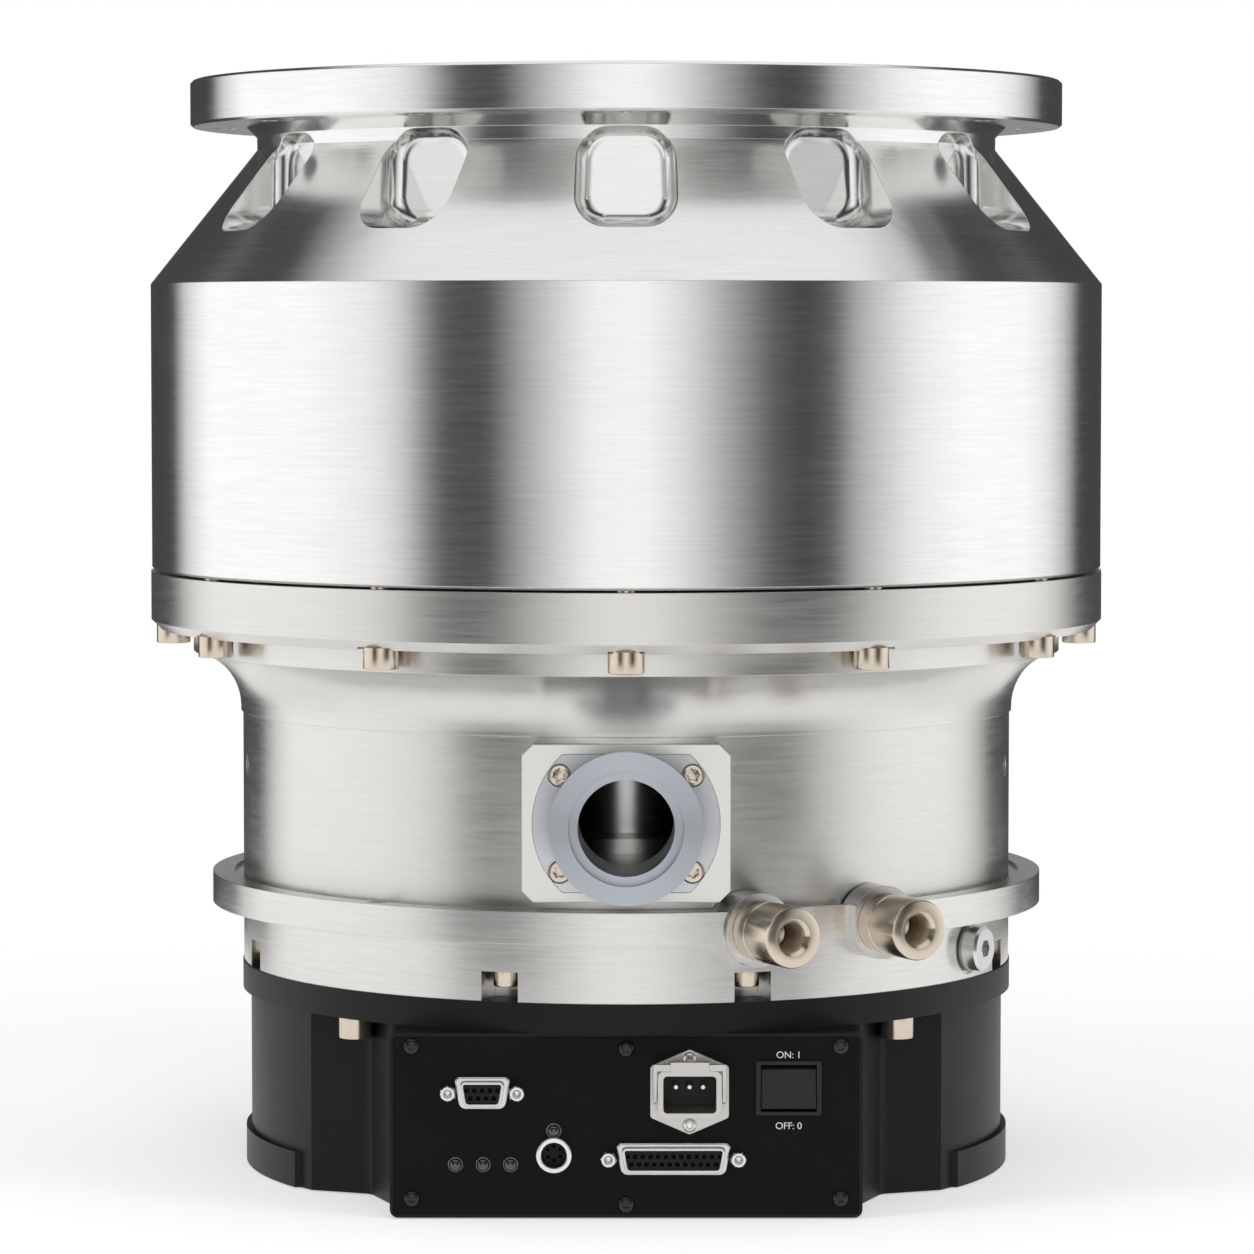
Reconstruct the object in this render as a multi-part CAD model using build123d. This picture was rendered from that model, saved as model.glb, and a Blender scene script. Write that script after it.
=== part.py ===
from build123d import *
import os
from math import cos, radians, sin, sqrt, tan

# Turbomolecular pump with a levitated rotor and an onboard controller.
# Millimetres. The pump's axis is Z, the underside lies at Z = 0 and the control panel faces -Y.
# An angle in a name counts from the front (-Y) towards +X.

# ---- Clearances -------------------------------------------------------------------------------
seat = 0.1           # between a piece and the bore or pocket that holds it
thread_gap = 0.1     # round the shank of a screw
reach = 60.0         # how far a cutter runs past what it cuts

# ---- Stack of casings, from the underside up --------------------------------------------------
controller_height = 67.2
controller_ring_height = 10.8
skirt_height = 22.7
foot_thickness = 11.7
base_height = 115.8
base_ring_height = 21.8
seal_thickness = 0.8
casing_height = 109.0
shoulder_height = 51.2
collar_height = 8.7
flange_thickness = 17.5

skirt_z = controller_height + controller_ring_height
foot_z = skirt_z + skirt_height
base_z = foot_z + foot_thickness
joint_z = base_z + base_height
base_ring_z = joint_z - base_ring_height
casing_z = joint_z + seal_thickness
shoulder_z = casing_z + casing_height
collar_z = shoulder_z + shoulder_height
flange_z = collar_z + collar_height
top_z = flange_z + flange_thickness

# ---- Envelope ---------------------------------------------------------------------------------
casing_radius = 183.0
casing_bore = 166.0
inlet_radius = 130.5
flange_radius = 167.5
collar_radius = 142.0
collar_relief = 4.0
edge_break = 1.0
inlet_holes = 12
inlet_hole_circle = 155.0
inlet_hole_radius = 5.5
inlet_land = 8.0     # casing left above the stator stack, inside the shoulder

pocket_width = 37.0
pocket_top_width = 34.0
pocket_height = 36.0
pocket_centre_z = 375.5
pocket_floor_radius = 138.0
pocket_corner = 11.5
pocket_floor_break = 3.5

# ---- Pump base --------------------------------------------------------------------------------
base_ring_radius = 183.4
base_ring_chamfer = 3.5
undercut_radius = 167.2
flare_radius = 22.0
flare_z = 176.0
flare_step = 0.8
flare_land = 1.5
neck_radius = 148.3
drag_bore = 138.0
plenum_radius = 130.0
drag_seat_z = 166.0
base_floor = 11.6
neck_hole_angle = 77.0
neck_hole_radius = 4.2
neck_hole_depth = 12.0
neck_hole_z = 154.0

casing_screws = 12
casing_screw_circle = 175.6
casing_screw_depth = 18.0
spotface_radius = 8.25
spotface_depth = 1.0

# ---- Exhaust ----------------------------------------------------------------------------------
pad_width = 75.0
pad_bottom_z = 115.4
pad_height = 56.8
pad_corner = 4.0
pad_face = 151.5
exhaust_z = 143.8
exhaust_bore = 17.3
nozzle_plate_radius = 33.7
nozzle_plate_half_height = 24.8
nozzle_plate_thickness = 6.0
nozzle_length = 20.5
nozzle_wall = 3.2
clamp_flange_radius = 27.5
clamp_flange_rim = 3.0
clamp_flange_cone = 15.0
centring_step = 3.3
centring_depth = 2.6
nozzle_screw_x = 23.9
nozzle_screw_z = 17.4
nozzle_screw_depth = 14.0
nozzle_counterbore_radius = 4.3
nozzle_counterbore_depth = 3.0
exhaust_seal_inner = 21.5
exhaust_seal_width = 3.0
exhaust_seal_thickness = 1.5

# ---- Cooling plate ----------------------------------------------------------------------------
foot_radius = 160.2
skirt_radius = 148.3
lip_width = 3.7
lip_depth = 1.2
bearing_pocket_radius = 45.0
bearing_pocket_z = 88.0
wire_hole_radius = 22.0
notch_width = 14.0
notch_height = 10.9
notch_depth = 15.3
notch_angle = 18.0
plate_screw_circle = 140.0
plate_screw_depth = 11.0
pry_slots = 5
pry_slot_first = 36.0
pry_slot_width = 7.0
pry_slot_length = 6.8
pry_slot_depth = 3.0

water_angle = 26.6
water_spacing = 51.3
water_z = 105.5
water_face = 183.9
water_radius = 11.0
water_shoulder = 158.4
water_spigot_radius = 7.5
water_spigot_depth = 9.0
water_bore = 5.4
water_bore_depth = 17.0
water_inner_bore = 3.4
water_mouth = 1.2
water_boss_radius = 13.4
water_boss_root = 136.0
water_flat_width = 27.0
water_flat_face = 154.4

purge_angle = 60.0
purge_z = 89.6
purge_face = 147.4
purge_head_radius = 8.5
purge_head_height = 6.0
purge_shank_radius = 4.9
purge_shank_depth = 14.0
purge_socket = 6.0
purge_socket_depth = 4.0
purge_washer_radius = 8.9
purge_washer_thickness = 1.8

# ---- Cap screws: head radius, head height, shank radius -----------------------------------------
m8_screw = (6.5, 8.0, 4.0)
m6_screw = (5.0, 6.0, 3.0)
m5_screw = (3.8, 3.4, 2.5)
m3_screw = (3.0, 1.7, 1.5)

# ---- Rotor, stator and drag stage ---------------------------------------------------------------
tip_radius = 150.0
tip_gap = 2.0
hub_radius = 82.0
hub_gap = 2.0
stage_gap = 2.5
rotor_heights = (20.0, 14.0, 12.0)
stator_heights = (14.0, 11.0)
blades_per_stage = (18, 20, 22)
vanes_per_stage = (20, 24)
blade_angles = (42.0, 34.0, 28.0)
vane_angles = (38.0, 30.0)
blade_thickness = 2.4
blade_root = 2.0     # how deep a blade or vane grows into what carries it
top_gap = 3.0
hub_rise = 2.0       # of the hub above its first row of blades
hub_edge = 4.0
hub_recess_radius = 36.0
hub_recess_depth = 12.0
hub_plate = 8.0
bell_radius = 58.0
drag_radius = 112.0
drag_wall = 4.0
drag_gap = 1.0
drag_disc = 7.0
drag_skirt_lift = 6.0
drag_channels = 6
drag_channel_depth = 9.0
drag_channel_span = 34.0
drag_channel_twist = 50.0
drag_stator_height = 60.0

# ---- Shaft, bearings and motor ------------------------------------------------------------------
shaft_radius = 18.0
shaft_bottom_z = 90.0
shaft_flange_radius = 30.0
shaft_flange_height = 8.0
spigot_radius = 10.0
spigot_height = 6.0
clamp_screws = 6
clamp_screw_circle = 22.0
clamp_screw_depth = 7.0
column_radius = 50.0
column_bore = 34.0
column_foot_radius = 70.0
column_foot_height = 6.0
column_top_gap = 6.0
touchdown_gap = 0.2
bearing_gap = 0.4
thrust_radius = 38.0
thrust_gap = 0.4
axial_bearing_height = 7.0
touchdown_radius = 30.0
touchdown_height = 9.0
lower_bearing_z = 140.0
motor_z = 176.0
upper_bearing_z = 226.0
bearing_height = 22.0
motor_height = 34.0

# ---- Controller ---------------------------------------------------------------------------------
controller_radius = 145.6
controller_ring_radius = 148.7
controller_cavity = 125.0
controller_roof = 9.0
side_foot_radius = 147.7
side_foot_height = 13.5
side_foot_half_width = 80.0
recess_corner_radius = 134.0
recess_half_angle = 66.0
recess_fillet = 6.0
controller_screw_angle = 45.0
controller_screw_circle = 141.2
controller_screw_depth = 15.0
cover_radius = 130.0
cover_thickness = 5.0
cover_screws = 4
cover_screw_circle = 121.5
cover_lug_radius = 5.0
cover_lug_height = 14.0
cover_head_sink = 0.5
board_width = 150.0
board_depth = 130.0
board_thickness = 1.6
board_drop = 12.0
board_post_radius = 3.0

# ---- Control panel and what it carries ------------------------------------------------------------
panel_face = 145.0
front_half_width = 85.5
front_corner = 3.0
front_back = 112.0
panel_margin = 1.4
panel_thickness = 2.0
panel_bay_half_width = 74.0
panel_bay_bottom = 10.0
panel_bay_top = 58.0
panel_screw_depth = 8.0
panel_screw_places = (
    (-77.5, 62.4), (0.0, 61.5), (77.5, 62.4), (-77.5, 7.0), (0.0, 4.9), (77.5, 7.0))

socket_stand = 5.8
socket_flange = 2.4
socket_rim = 1.1
comm_place = (-51.9, 45.7)
comm_width = 20.8
comm_screw_spacing = 25.0
comm_insert_width = 14.3
remote_place = (17.1, 21.7)
remote_width = 42.0
remote_screw_spacing = 47.04
remote_insert_width = 35.8
socket_height = 11.9
socket_insert_height = 7.0
socket_slant = 10.0
socket_depth = 9.0
jackscrew_radius = 2.75
jackscrew_height = 5.0

lamp_places = ((-61.7, 19.4), (-51.7, 19.4), (-41.8, 19.4))
lamp_radius = 2.85
lamp_rim = 0.8
lamp_crown = 1.4
lamp_stem = 4.0

link_place = (-26.1, 23.1)
link_radius = 6.65
link_bore = 4.6
link_stand = 3.0
link_depth = 10.0
link_recess = 6.0
link_key_rise = 8.6
link_key_radius = 2.85

inlet_place = (22.9, 46.1)
inlet_plate_width = 28.3
inlet_plate_height = 30.9
inlet_plate_side = 18.6
inlet_plate_thickness = 2.0
inlet_frame_width = 23.0
inlet_frame_height = 17.0
inlet_frame_stand = 9.0
inlet_opening_width = 19.1
inlet_opening_height = 13.4
inlet_depth = 12.0
inlet_floor = 2.0
inlet_screw_rise = 12.1
inlet_pin_radius = 1.3
inlet_pin_pitch = 4.9
inlet_pin_length = 9.0
inlet_pin_rise = 1.3

lever_gap = 0.3
lever_arm = 1.3
lever_arm_depth = 4.0
lever_bar = 1.6
lever_bar_height = 2.4
lever_tab_width = 13.8
lever_tab_height = 3.4
lever_pivot_drop = 2.0
lever_pivot_radius = 1.0
lever_pivot_length = 1.5
pivot_gap = 0.05

switch_place = (58.7, 47.3)
switch_width = 23.7
switch_height = 19.7
switch_stand = 1.2
switch_depth = 11.0
rocker_width = 19.6
rocker_height = 15.8
rocker_depth = 6.0
rocker_gap = 0.3
rocker_swing_gap = 0.6
rocker_pivot_depth = 4.0
rocker_tilt = 8.0
rocker_pin_radius = 1.2


# ---- Shapes used all over -------------------------------------------------------------------------
def turned(*profile):
    """Solid turned about Z from a closed outline of (radius, height) points."""
    return revolve(Plane.XZ * make_face(Polyline(*profile, close=True)), Axis.Z)


def disc(radius, bottom, top):
    """Cylinder on the Z axis from one height to another."""
    return Pos(0, 0, bottom) * Cylinder(radius, top - bottom, align=(Align.CENTER, Align.CENTER, Align.MIN))


def ring(inner, outer, bottom, top):
    """Plain ring on the Z axis."""
    return disc(outer, bottom, top) - disc(inner, bottom, top)


def facing(distance, z, x=0.0):
    """Plane whose normal points out of the front, at a distance from the pump's axis."""
    return Plane(origin=(x, -distance, z), x_dir=(1, 0, 0), z_dir=(0, -1, 0))


def panel_plane(place):
    """Plane on the control panel's face at a place (x, z)."""
    return facing(panel_face, place[1], place[0])


def at_angle(shape, angle):
    """Shape made at the front, turned to an angle about the pump's axis."""
    return shape.rotate(Axis.Z, angle)


def around(shape, count, first=0.0):
    """Copies of a shape, evenly spaced about the pump's axis."""
    return [at_angle(shape, first + 360.0 / count * k) for k in range(count)]


def quarters(shape, offset):
    """Copies of a shape at an offset on both sides of each of the four quarter turns."""
    return [at_angle(shape, 90.0 * k + side * offset) for k in range(4) for side in (-1, 1)]


def hexagon(across_flats):
    """Regular hexagon, flat sides left and right."""
    return RegularPolygon(across_flats / 2, 6, major_radius=False)


def cap_screw(size, length):
    """Screw along Z: underside of its head at Z = 0, head above, shank below."""
    head_radius, head_height, shank_radius = size
    return disc(head_radius, 0, head_height) + disc(shank_radius, -length, 0)


def hanging_screw(size, length, circle, z):
    """Cap screw at the front, upside down: its head hangs below z and its shank runs up."""
    return Pos(0, -circle, z) * cap_screw(size, length).rotate(Axis.X, 180)


def hanging_hole(size, depth, circle, z):
    """Cutter for the shank of a hanging screw, from z up."""
    return Pos(0, -circle, 0) * disc(size[2] + thread_gap, z, z + depth)


# ---- Envelope -------------------------------------------------------------------------------------
def inlet_pocket():
    """Cutter for the front bolt pocket: a tapered tile with round corners and a broken floor edge."""
    half, top_half, rise = pocket_width / 2, pocket_top_width / 2, pocket_height / 2
    outline = make_face(Polyline((-half, -rise), (half, -rise), (top_half, rise), (-top_half, rise), close=True))
    outline = fillet(outline.vertices(), pocket_corner)
    tile = extrude(facing(pocket_floor_radius, pocket_centre_z) * outline, reach)
    floor_edges = tile.edges().filter_by(lambda edge: abs(edge.center().Y + pocket_floor_radius) < 0.01)
    return chamfer(floor_edges, pocket_floor_break)


def make_envelope():
    """Turned casing: inlet flange, collar, shoulder with bolt pockets, straight wall."""
    flange_edge = flange_radius - edge_break
    casing_edge = casing_radius - edge_break
    body = turned(
        (inlet_radius, top_z), (flange_edge, top_z), (flange_radius, top_z - edge_break),
        (flange_radius, flange_z + edge_break), (flange_edge, flange_z),
        (collar_radius + collar_relief, flange_z), (collar_radius, flange_z - collar_relief),
        (collar_radius, collar_z), (casing_radius, shoulder_z), (casing_radius, casing_z + edge_break),
        (casing_edge, casing_z), (casing_bore, casing_z), (casing_bore, shoulder_z - inlet_land),
        (inlet_radius, shoulder_z - inlet_land))
    flange_hole = Pos(0, -inlet_hole_circle, 0) * disc(inlet_hole_radius, flange_z - 1, top_z + 1)
    screw_hole = hanging_hole(m8_screw, casing_screw_depth, casing_screw_circle, casing_z)
    screw_hole = Pos(0, 0, -seal_thickness / 2) * screw_hole
    return body - (around(inlet_pocket(), inlet_holes) + around(flange_hole, inlet_holes)
                   + around(screw_hole, casing_screws))


def make_envelope_seal():
    """Flat seal between the envelope and the base, inside the ring of screws."""
    outer = casing_screw_circle - m8_screw[2] - 2 * edge_break
    return ring(casing_bore, outer, joint_z, casing_z)


def make_envelope_screws():
    """Twelve cap screws that hang from the base ring."""
    length = joint_z - base_ring_z - spotface_depth + casing_screw_depth - edge_break
    screw = hanging_screw(m8_screw, length, casing_screw_circle, base_ring_z + spotface_depth)
    return around(screw, casing_screws)


# ---- Pump base ------------------------------------------------------------------------------------
def base_outline():
    """Closed half outline of the base: ring, undercut, hollow flare, neck, floor and bores."""
    flare_end = neck_radius + flare_step
    flare_centre = flare_end + flare_radius
    undercut_z = flare_z + sqrt(flare_radius**2 - (flare_centre - undercut_radius) ** 2)
    middle = radians(45.0)
    upper = Polyline(
        (flare_end, flare_z), (flare_end, flare_z - flare_land), (neck_radius, flare_z - flare_land),
        (neck_radius, base_z), (touchdown_radius, base_z), (touchdown_radius, base_z + base_floor),
        (plenum_radius, base_z + base_floor), (plenum_radius, drag_seat_z), (drag_bore, drag_seat_z),
        (drag_bore, joint_z), (base_ring_radius, joint_z), (base_ring_radius, base_ring_z + base_ring_chamfer),
        (base_ring_radius - base_ring_chamfer, base_ring_z), (undercut_radius, base_ring_z),
        (undercut_radius, undercut_z))
    flare = ThreePointArc(
        (undercut_radius, undercut_z),
        (flare_centre - flare_radius * cos(middle), flare_z + flare_radius * sin(middle)),
        (flare_end, flare_z))
    return make_face(upper + flare)


def nozzle_plate(gap, thickness):
    """Round plate with two flats, standing out of the front plane from Z = 0."""
    half_height = nozzle_plate_half_height + gap
    plate = disc(nozzle_plate_radius + gap, 0, thickness)
    return plate & Box(reach * 2, half_height * 2, reach)


def nozzle_screws(shape):
    """Copies of a shape at the four screw places of the exhaust nozzle, on its plane."""
    return [Pos(x, z, 0) * shape for x in (-nozzle_screw_x, nozzle_screw_x)
            for z in (-nozzle_screw_z, nozzle_screw_z)]


def make_pump_base():
    """Base: ring over a hollow flare and a neck, with the exhaust pad, the plenum and its floor."""
    body = revolve(Plane.XZ * base_outline(), Axis.Z)
    pad_outline = chamfer(Rectangle(pad_width, pad_height).vertices(), pad_corner)
    pad_root = (plenum_radius + neck_radius) / 2
    pad = extrude(facing(pad_root, pad_bottom_z + pad_height / 2) * pad_outline, pad_face - pad_root)
    body = body + pad

    recess_floor = facing(pad_face - nozzle_plate_thickness, exhaust_z)
    spotface = Pos(0, -casing_screw_circle, 0) * disc(
        spotface_radius, base_ring_z - m8_screw[1], base_ring_z + spotface_depth)
    cuts = [recess_floor * nozzle_plate(seat, reach),
            recess_floor * disc(exhaust_bore, -reach / 2, 1),
            recess_floor * ring(exhaust_seal_inner, exhaust_seal_inner + exhaust_seal_width,
                                -exhaust_seal_thickness, 0)]
    cuts += [recess_floor * hole for hole in nozzle_screws(
        disc(m5_screw[2] + thread_gap, nozzle_plate_thickness - nozzle_screw_depth - 1, 0))]
    cuts += around(spotface, casing_screws)
    cuts += around(hanging_hole(m8_screw, reach, casing_screw_circle, base_ring_z), casing_screws)
    cuts += quarters(hanging_hole(m6_screw, plate_screw_depth, plate_screw_circle, base_z), notch_angle)
    neck_hole = facing(neck_radius, neck_hole_z) * disc(neck_hole_radius, -neck_hole_depth, 1)
    cuts += [at_angle(neck_hole, neck_hole_angle), at_angle(neck_hole, -neck_hole_angle)]
    return body - cuts


def make_exhaust_nozzle():
    """Nozzle: plate with flats, short tube and clamp flange with its centring recess."""
    rim_z = nozzle_length - clamp_flange_rim
    tube_radius = exhaust_bore + nozzle_wall
    centring_radius = exhaust_bore + centring_step
    cone = (clamp_flange_radius - tube_radius) * tan(radians(clamp_flange_cone))
    tube = turned(
        (exhaust_bore, -nozzle_plate_thickness / 2), (tube_radius, -nozzle_plate_thickness / 2),
        (tube_radius, rim_z - cone), (clamp_flange_radius, rim_z), (clamp_flange_radius, nozzle_length),
        (centring_radius, nozzle_length), (centring_radius, nozzle_length - centring_depth),
        (exhaust_bore, nozzle_length - centring_depth))
    plate = Pos(0, 0, -nozzle_plate_thickness) * nozzle_plate(0, nozzle_plate_thickness)
    nozzle = plate - disc(exhaust_bore, -nozzle_plate_thickness, 0) + tube
    bore = disc(m5_screw[2] + thread_gap, -nozzle_plate_thickness, 0)
    counterbore = disc(nozzle_counterbore_radius, -nozzle_counterbore_depth, 1)
    nozzle = nozzle - nozzle_screws(bore + counterbore)
    return facing(pad_face, exhaust_z) * nozzle


def make_exhaust_seal():
    """Seal in the groove behind the nozzle's plate."""
    outer = exhaust_seal_inner + exhaust_seal_width
    return facing(pad_face - nozzle_plate_thickness, exhaust_z) * ring(
        exhaust_seal_inner, outer, -exhaust_seal_thickness, 0)


def make_exhaust_screws():
    """Four screws of the nozzle's plate."""
    screw = Pos(0, 0, -nozzle_counterbore_depth) * cap_screw(
        m5_screw, nozzle_screw_depth - nozzle_counterbore_depth)
    return [facing(pad_face, exhaust_z) * placed for placed in nozzle_screws(screw)]


# ---- Cooling plate ----------------------------------------------------------------------------------
def water_places(shape):
    """Copies of a shape made at the front, at the two water ports."""
    return [at_angle(Pos(side * water_spacing / 2, 0, 0) * shape, water_angle) for side in (-1, 1)]


def make_cooling_plate():
    """Foot flange and skirt in one, with bearing pocket, notches, pry slots and water bosses."""
    plate = turned(
        (wire_hole_radius, skirt_z), (skirt_radius, skirt_z), (skirt_radius, foot_z), (foot_radius, foot_z),
        (foot_radius, base_z), (neck_radius + lip_width, base_z), (neck_radius + lip_width, base_z - lip_depth),
        (neck_radius, base_z - lip_depth), (neck_radius, base_z), (bearing_pocket_radius, base_z),
        (bearing_pocket_radius, bearing_pocket_z), (wire_hole_radius, bearing_pocket_z))

    boss = facing(water_boss_root, water_z) * disc(water_boss_radius, 0, water_shoulder - water_boss_root)
    clear_of_neck = disc(neck_radius + edge_break, base_z - lip_depth, base_z + reach)
    plate = plate + [at_angle(Pos(side * water_spacing / 2, 0, 0) * boss, water_angle) - clear_of_neck
                     for side in (-1, 1)]
    flat = Pos(0, -water_flat_face, (foot_z + base_z) / 2) * Box(
        water_flat_width, reach, foot_thickness * 3, align=(Align.CENTER, Align.MAX, Align.CENTER))

    notch = Pos(0, -skirt_radius + notch_depth, skirt_z) * Box(
        notch_width, reach, notch_height * 2, align=(Align.CENTER, Align.MAX, Align.CENTER))
    slot = Pos(0, -neck_radius - lip_width / 2, base_z) * Box(
        pry_slot_width, pry_slot_length, pry_slot_depth * 2, align=(Align.CENTER, Align.MAX, Align.CENTER))
    purge = facing(purge_face, purge_z) * (
        disc(purge_shank_radius + thread_gap, -purge_shank_depth, reach)
        + disc(purge_washer_radius + edge_break, 0, reach))
    port = facing(water_shoulder, water_z) * (
        disc(water_spigot_radius + seat, -water_spigot_depth, 1) + disc(water_boss_radius + edge_break, 0, reach))
    cuts = [at_angle(flat, water_angle), at_angle(purge, purge_angle)]
    cuts += quarters(notch, notch_angle) + around(slot, pry_slots, pry_slot_first)
    cuts += water_places(port)
    cuts += quarters(hanging_hole(m6_screw, reach, plate_screw_circle, skirt_z), notch_angle)
    cuts += around(hanging_hole(m8_screw, controller_screw_depth, controller_screw_circle, skirt_z),
                   4, controller_screw_angle)
    return plate - cuts


def make_plate_screws():
    """Eight cap screws in the skirt's notches, up into the base."""
    length = base_z - skirt_z - notch_height + plate_screw_depth - edge_break
    screw = hanging_screw(m6_screw, length, plate_screw_circle, skirt_z + notch_height)
    return quarters(screw, notch_angle)


def make_water_couplings():
    """Two threaded couplings, side by side, each with a stepped bore."""
    length = water_face - water_shoulder
    coupling = turned(
        (water_inner_bore, -water_spigot_depth), (water_spigot_radius, -water_spigot_depth),
        (water_spigot_radius, 0), (water_radius, 0), (water_radius, length - edge_break),
        (water_radius - edge_break, length), (water_bore + water_mouth, length),
        (water_bore, length - water_mouth), (water_bore, length - water_bore_depth),
        (water_inner_bore, length - water_bore_depth))
    return water_places(facing(water_shoulder, water_z) * coupling)


def make_purge_plug():
    """Blanking plug of the purge port, with a hexagon socket."""
    start = purge_washer_thickness
    end = start + purge_head_height
    plug = turned(
        (0, -purge_shank_depth + 1), (purge_shank_radius, -purge_shank_depth + 1),
        (purge_shank_radius, start), (purge_head_radius, start), (purge_head_radius, end - edge_break),
        (purge_head_radius - edge_break, end), (0, end))
    socket = Pos(0, 0, end - purge_socket_depth) * extrude(hexagon(purge_socket), reach)
    return at_angle(facing(purge_face, purge_z) * (plug - socket), purge_angle)


def make_purge_washer():
    """Sealing washer under the purge plug's head."""
    washer = ring(purge_shank_radius + thread_gap, purge_washer_radius, 0, purge_washer_thickness)
    return at_angle(facing(purge_face, purge_z) * washer, purge_angle)


# ---- Blades and vanes ---------------------------------------------------------------------------------
def blade_row(inner, outer, bottom, top, count, pitch_angle):
    """Ring of flat blades between two radii, all leaning by one angle from the plane of the ring."""
    height = top - bottom
    chord = height / sin(radians(abs(pitch_angle))) * 1.3
    plate = Pos(0, -(inner + outer) / 2, 0) * Box(chord, outer - inner + 2 * blade_root, blade_thickness)
    plate = Pos(0, 0, (bottom + top) / 2) * plate.rotate(Axis.Y, -pitch_angle)
    return around(plate & ring(inner, outer, bottom, top), count)


def rotor_spans():
    """Bottom and top height of each rotor row, from the inlet down."""
    spans, top = [], shoulder_z - inlet_land - top_gap
    for row, height in enumerate(rotor_heights):
        spans.append((top - height, top))
        if row < len(stator_heights):
            top -= height + stator_heights[row] + 2 * stage_gap
    return spans


def stator_spans():
    """Bottom and top height of each stator row, from the inlet down."""
    return [(bottom - stage_gap - height, bottom - stage_gap)
            for (bottom, _), height in zip(rotor_spans(), stator_heights)]


hub_top_z = rotor_spans()[0][1] + hub_rise
hub_floor_z = hub_top_z - hub_recess_depth
flange_top_z = hub_floor_z - hub_plate
drag_disc_top_z = rotor_spans()[-1][0] - stage_gap
drag_disc_bottom_z = drag_disc_top_z - drag_disc


def make_turbine_rotor():
    """Bladed hub in one piece with its bell and the skirt of the drag stage."""
    body = turned(
        (spigot_radius + seat, flange_top_z), (spigot_radius + seat, hub_floor_z),
        (hub_recess_radius, hub_floor_z), (hub_recess_radius, hub_top_z), (hub_radius - hub_edge, hub_top_z),
        (hub_radius, hub_top_z - hub_edge), (hub_radius, drag_disc_top_z), (drag_radius, drag_disc_top_z),
        (drag_radius, drag_seat_z + drag_skirt_lift), (drag_radius - drag_wall, drag_seat_z + drag_skirt_lift),
        (drag_radius - drag_wall, drag_disc_bottom_z), (bell_radius, drag_disc_bottom_z),
        (bell_radius, flange_top_z))
    blades = []
    for (bottom, top), count, lean in zip(rotor_spans(), blades_per_stage, blade_angles):
        blades += blade_row(hub_radius - blade_root, tip_radius, bottom, top, count, lean)
    clamp_hole = Pos(0, -clamp_screw_circle, 0) * disc(
        m6_screw[2] + thread_gap, flange_top_z - 1, hub_floor_z + 1)
    return body + blades - around(clamp_hole, clamp_screws)


def make_stator_stages():
    """Stator rings from the inlet down: each is a spacer that carries one row of vanes."""
    inner, outer = tip_radius + tip_gap, casing_bore - seat
    stages, top = [], shoulder_z - inlet_land
    for row, (vane_bottom, vane_top) in enumerate(stator_spans()):
        last = row == len(stator_heights) - 1
        bottom = joint_z if last else (vane_bottom + stator_spans()[row + 1][1]) / 2
        vanes = blade_row(hub_radius + hub_gap, inner + blade_root, vane_bottom, vane_top,
                          vanes_per_stage[row], -vane_angles[row])
        stages.append(ring(inner, outer, bottom, top) + vanes)
        top = bottom
    return stages


def make_drag_stator():
    """Ring round the rotor's skirt, with helical pumping channels in its bore."""
    inner = drag_radius + drag_gap
    body = ring(inner, drag_bore - seat, drag_seat_z, drag_seat_z + drag_stator_height)
    half = radians(drag_channel_span / 2)
    near, far = inner - 1, inner + drag_channel_depth
    channel = make_face(Polyline(
        (-near * sin(half), -near * cos(half)), (near * sin(half), -near * cos(half)),
        (far * sin(half), -far * cos(half)), (0, -far), (-far * sin(half), -far * cos(half)), close=True))
    channel = Pos(0, 0, drag_seat_z - 1) * channel
    twisted = Solid.extrude_linear_with_rotation(
        channel.face(), (0, 0, drag_seat_z - 1), (0, 0, drag_stator_height + 2), drag_channel_twist)
    return body - around(twisted, drag_channels)


# ---- Shaft, bearings and motor ---------------------------------------------------------------------------
thrust_bottom_z = bearing_pocket_z + axial_bearing_height + thrust_gap
thrust_top_z = base_z - axial_bearing_height - thrust_gap


def make_rotor_shaft():
    """Shaft with a flange under the rotor and a spigot that centres it."""
    flange_bottom_z = flange_top_z - shaft_flange_height
    shaft = turned(
        (0, shaft_bottom_z), (shaft_radius, shaft_bottom_z), (shaft_radius, flange_bottom_z),
        (shaft_flange_radius, flange_bottom_z), (shaft_flange_radius, flange_top_z),
        (spigot_radius, flange_top_z), (spigot_radius, flange_top_z + spigot_height),
        (0, flange_top_z + spigot_height))
    hole = Pos(0, -clamp_screw_circle, 0) * disc(
        m6_screw[2] + thread_gap, flange_top_z - clamp_screw_depth, flange_top_z + 1)
    return shaft - around(hole, clamp_screws)


def make_clamp_screws():
    """Six screws that clamp the rotor to the shaft's flange."""
    length = hub_plate + clamp_screw_depth - edge_break
    screw = Pos(0, -clamp_screw_circle, hub_floor_z) * cap_screw(m6_screw, length)
    return around(screw, clamp_screws)


def make_thrust_disc():
    """Disc near the shaft's lower end, between the two halves of the axial bearing."""
    return ring(shaft_radius, thrust_radius, thrust_bottom_z, thrust_top_z)


def make_axial_bearing():
    """Lower and upper magnet rings of the axial bearing, in the cooling plate's pocket."""
    outer = bearing_pocket_radius - seat
    return [ring(wire_hole_radius, outer, bearing_pocket_z, bearing_pocket_z + axial_bearing_height),
            ring(wire_hole_radius, outer, base_z - axial_bearing_height, base_z)]


def make_bearing_column():
    """Column on the base's floor that holds the radial bearings and the motor."""
    floor_z = base_z + base_floor
    top = flange_top_z - shaft_flange_height - column_top_gap
    return turned(
        (column_bore, floor_z), (column_foot_radius, floor_z), (column_foot_radius, floor_z + column_foot_height),
        (column_radius, floor_z + column_foot_height), (column_radius, top), (column_bore, top))


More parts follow.
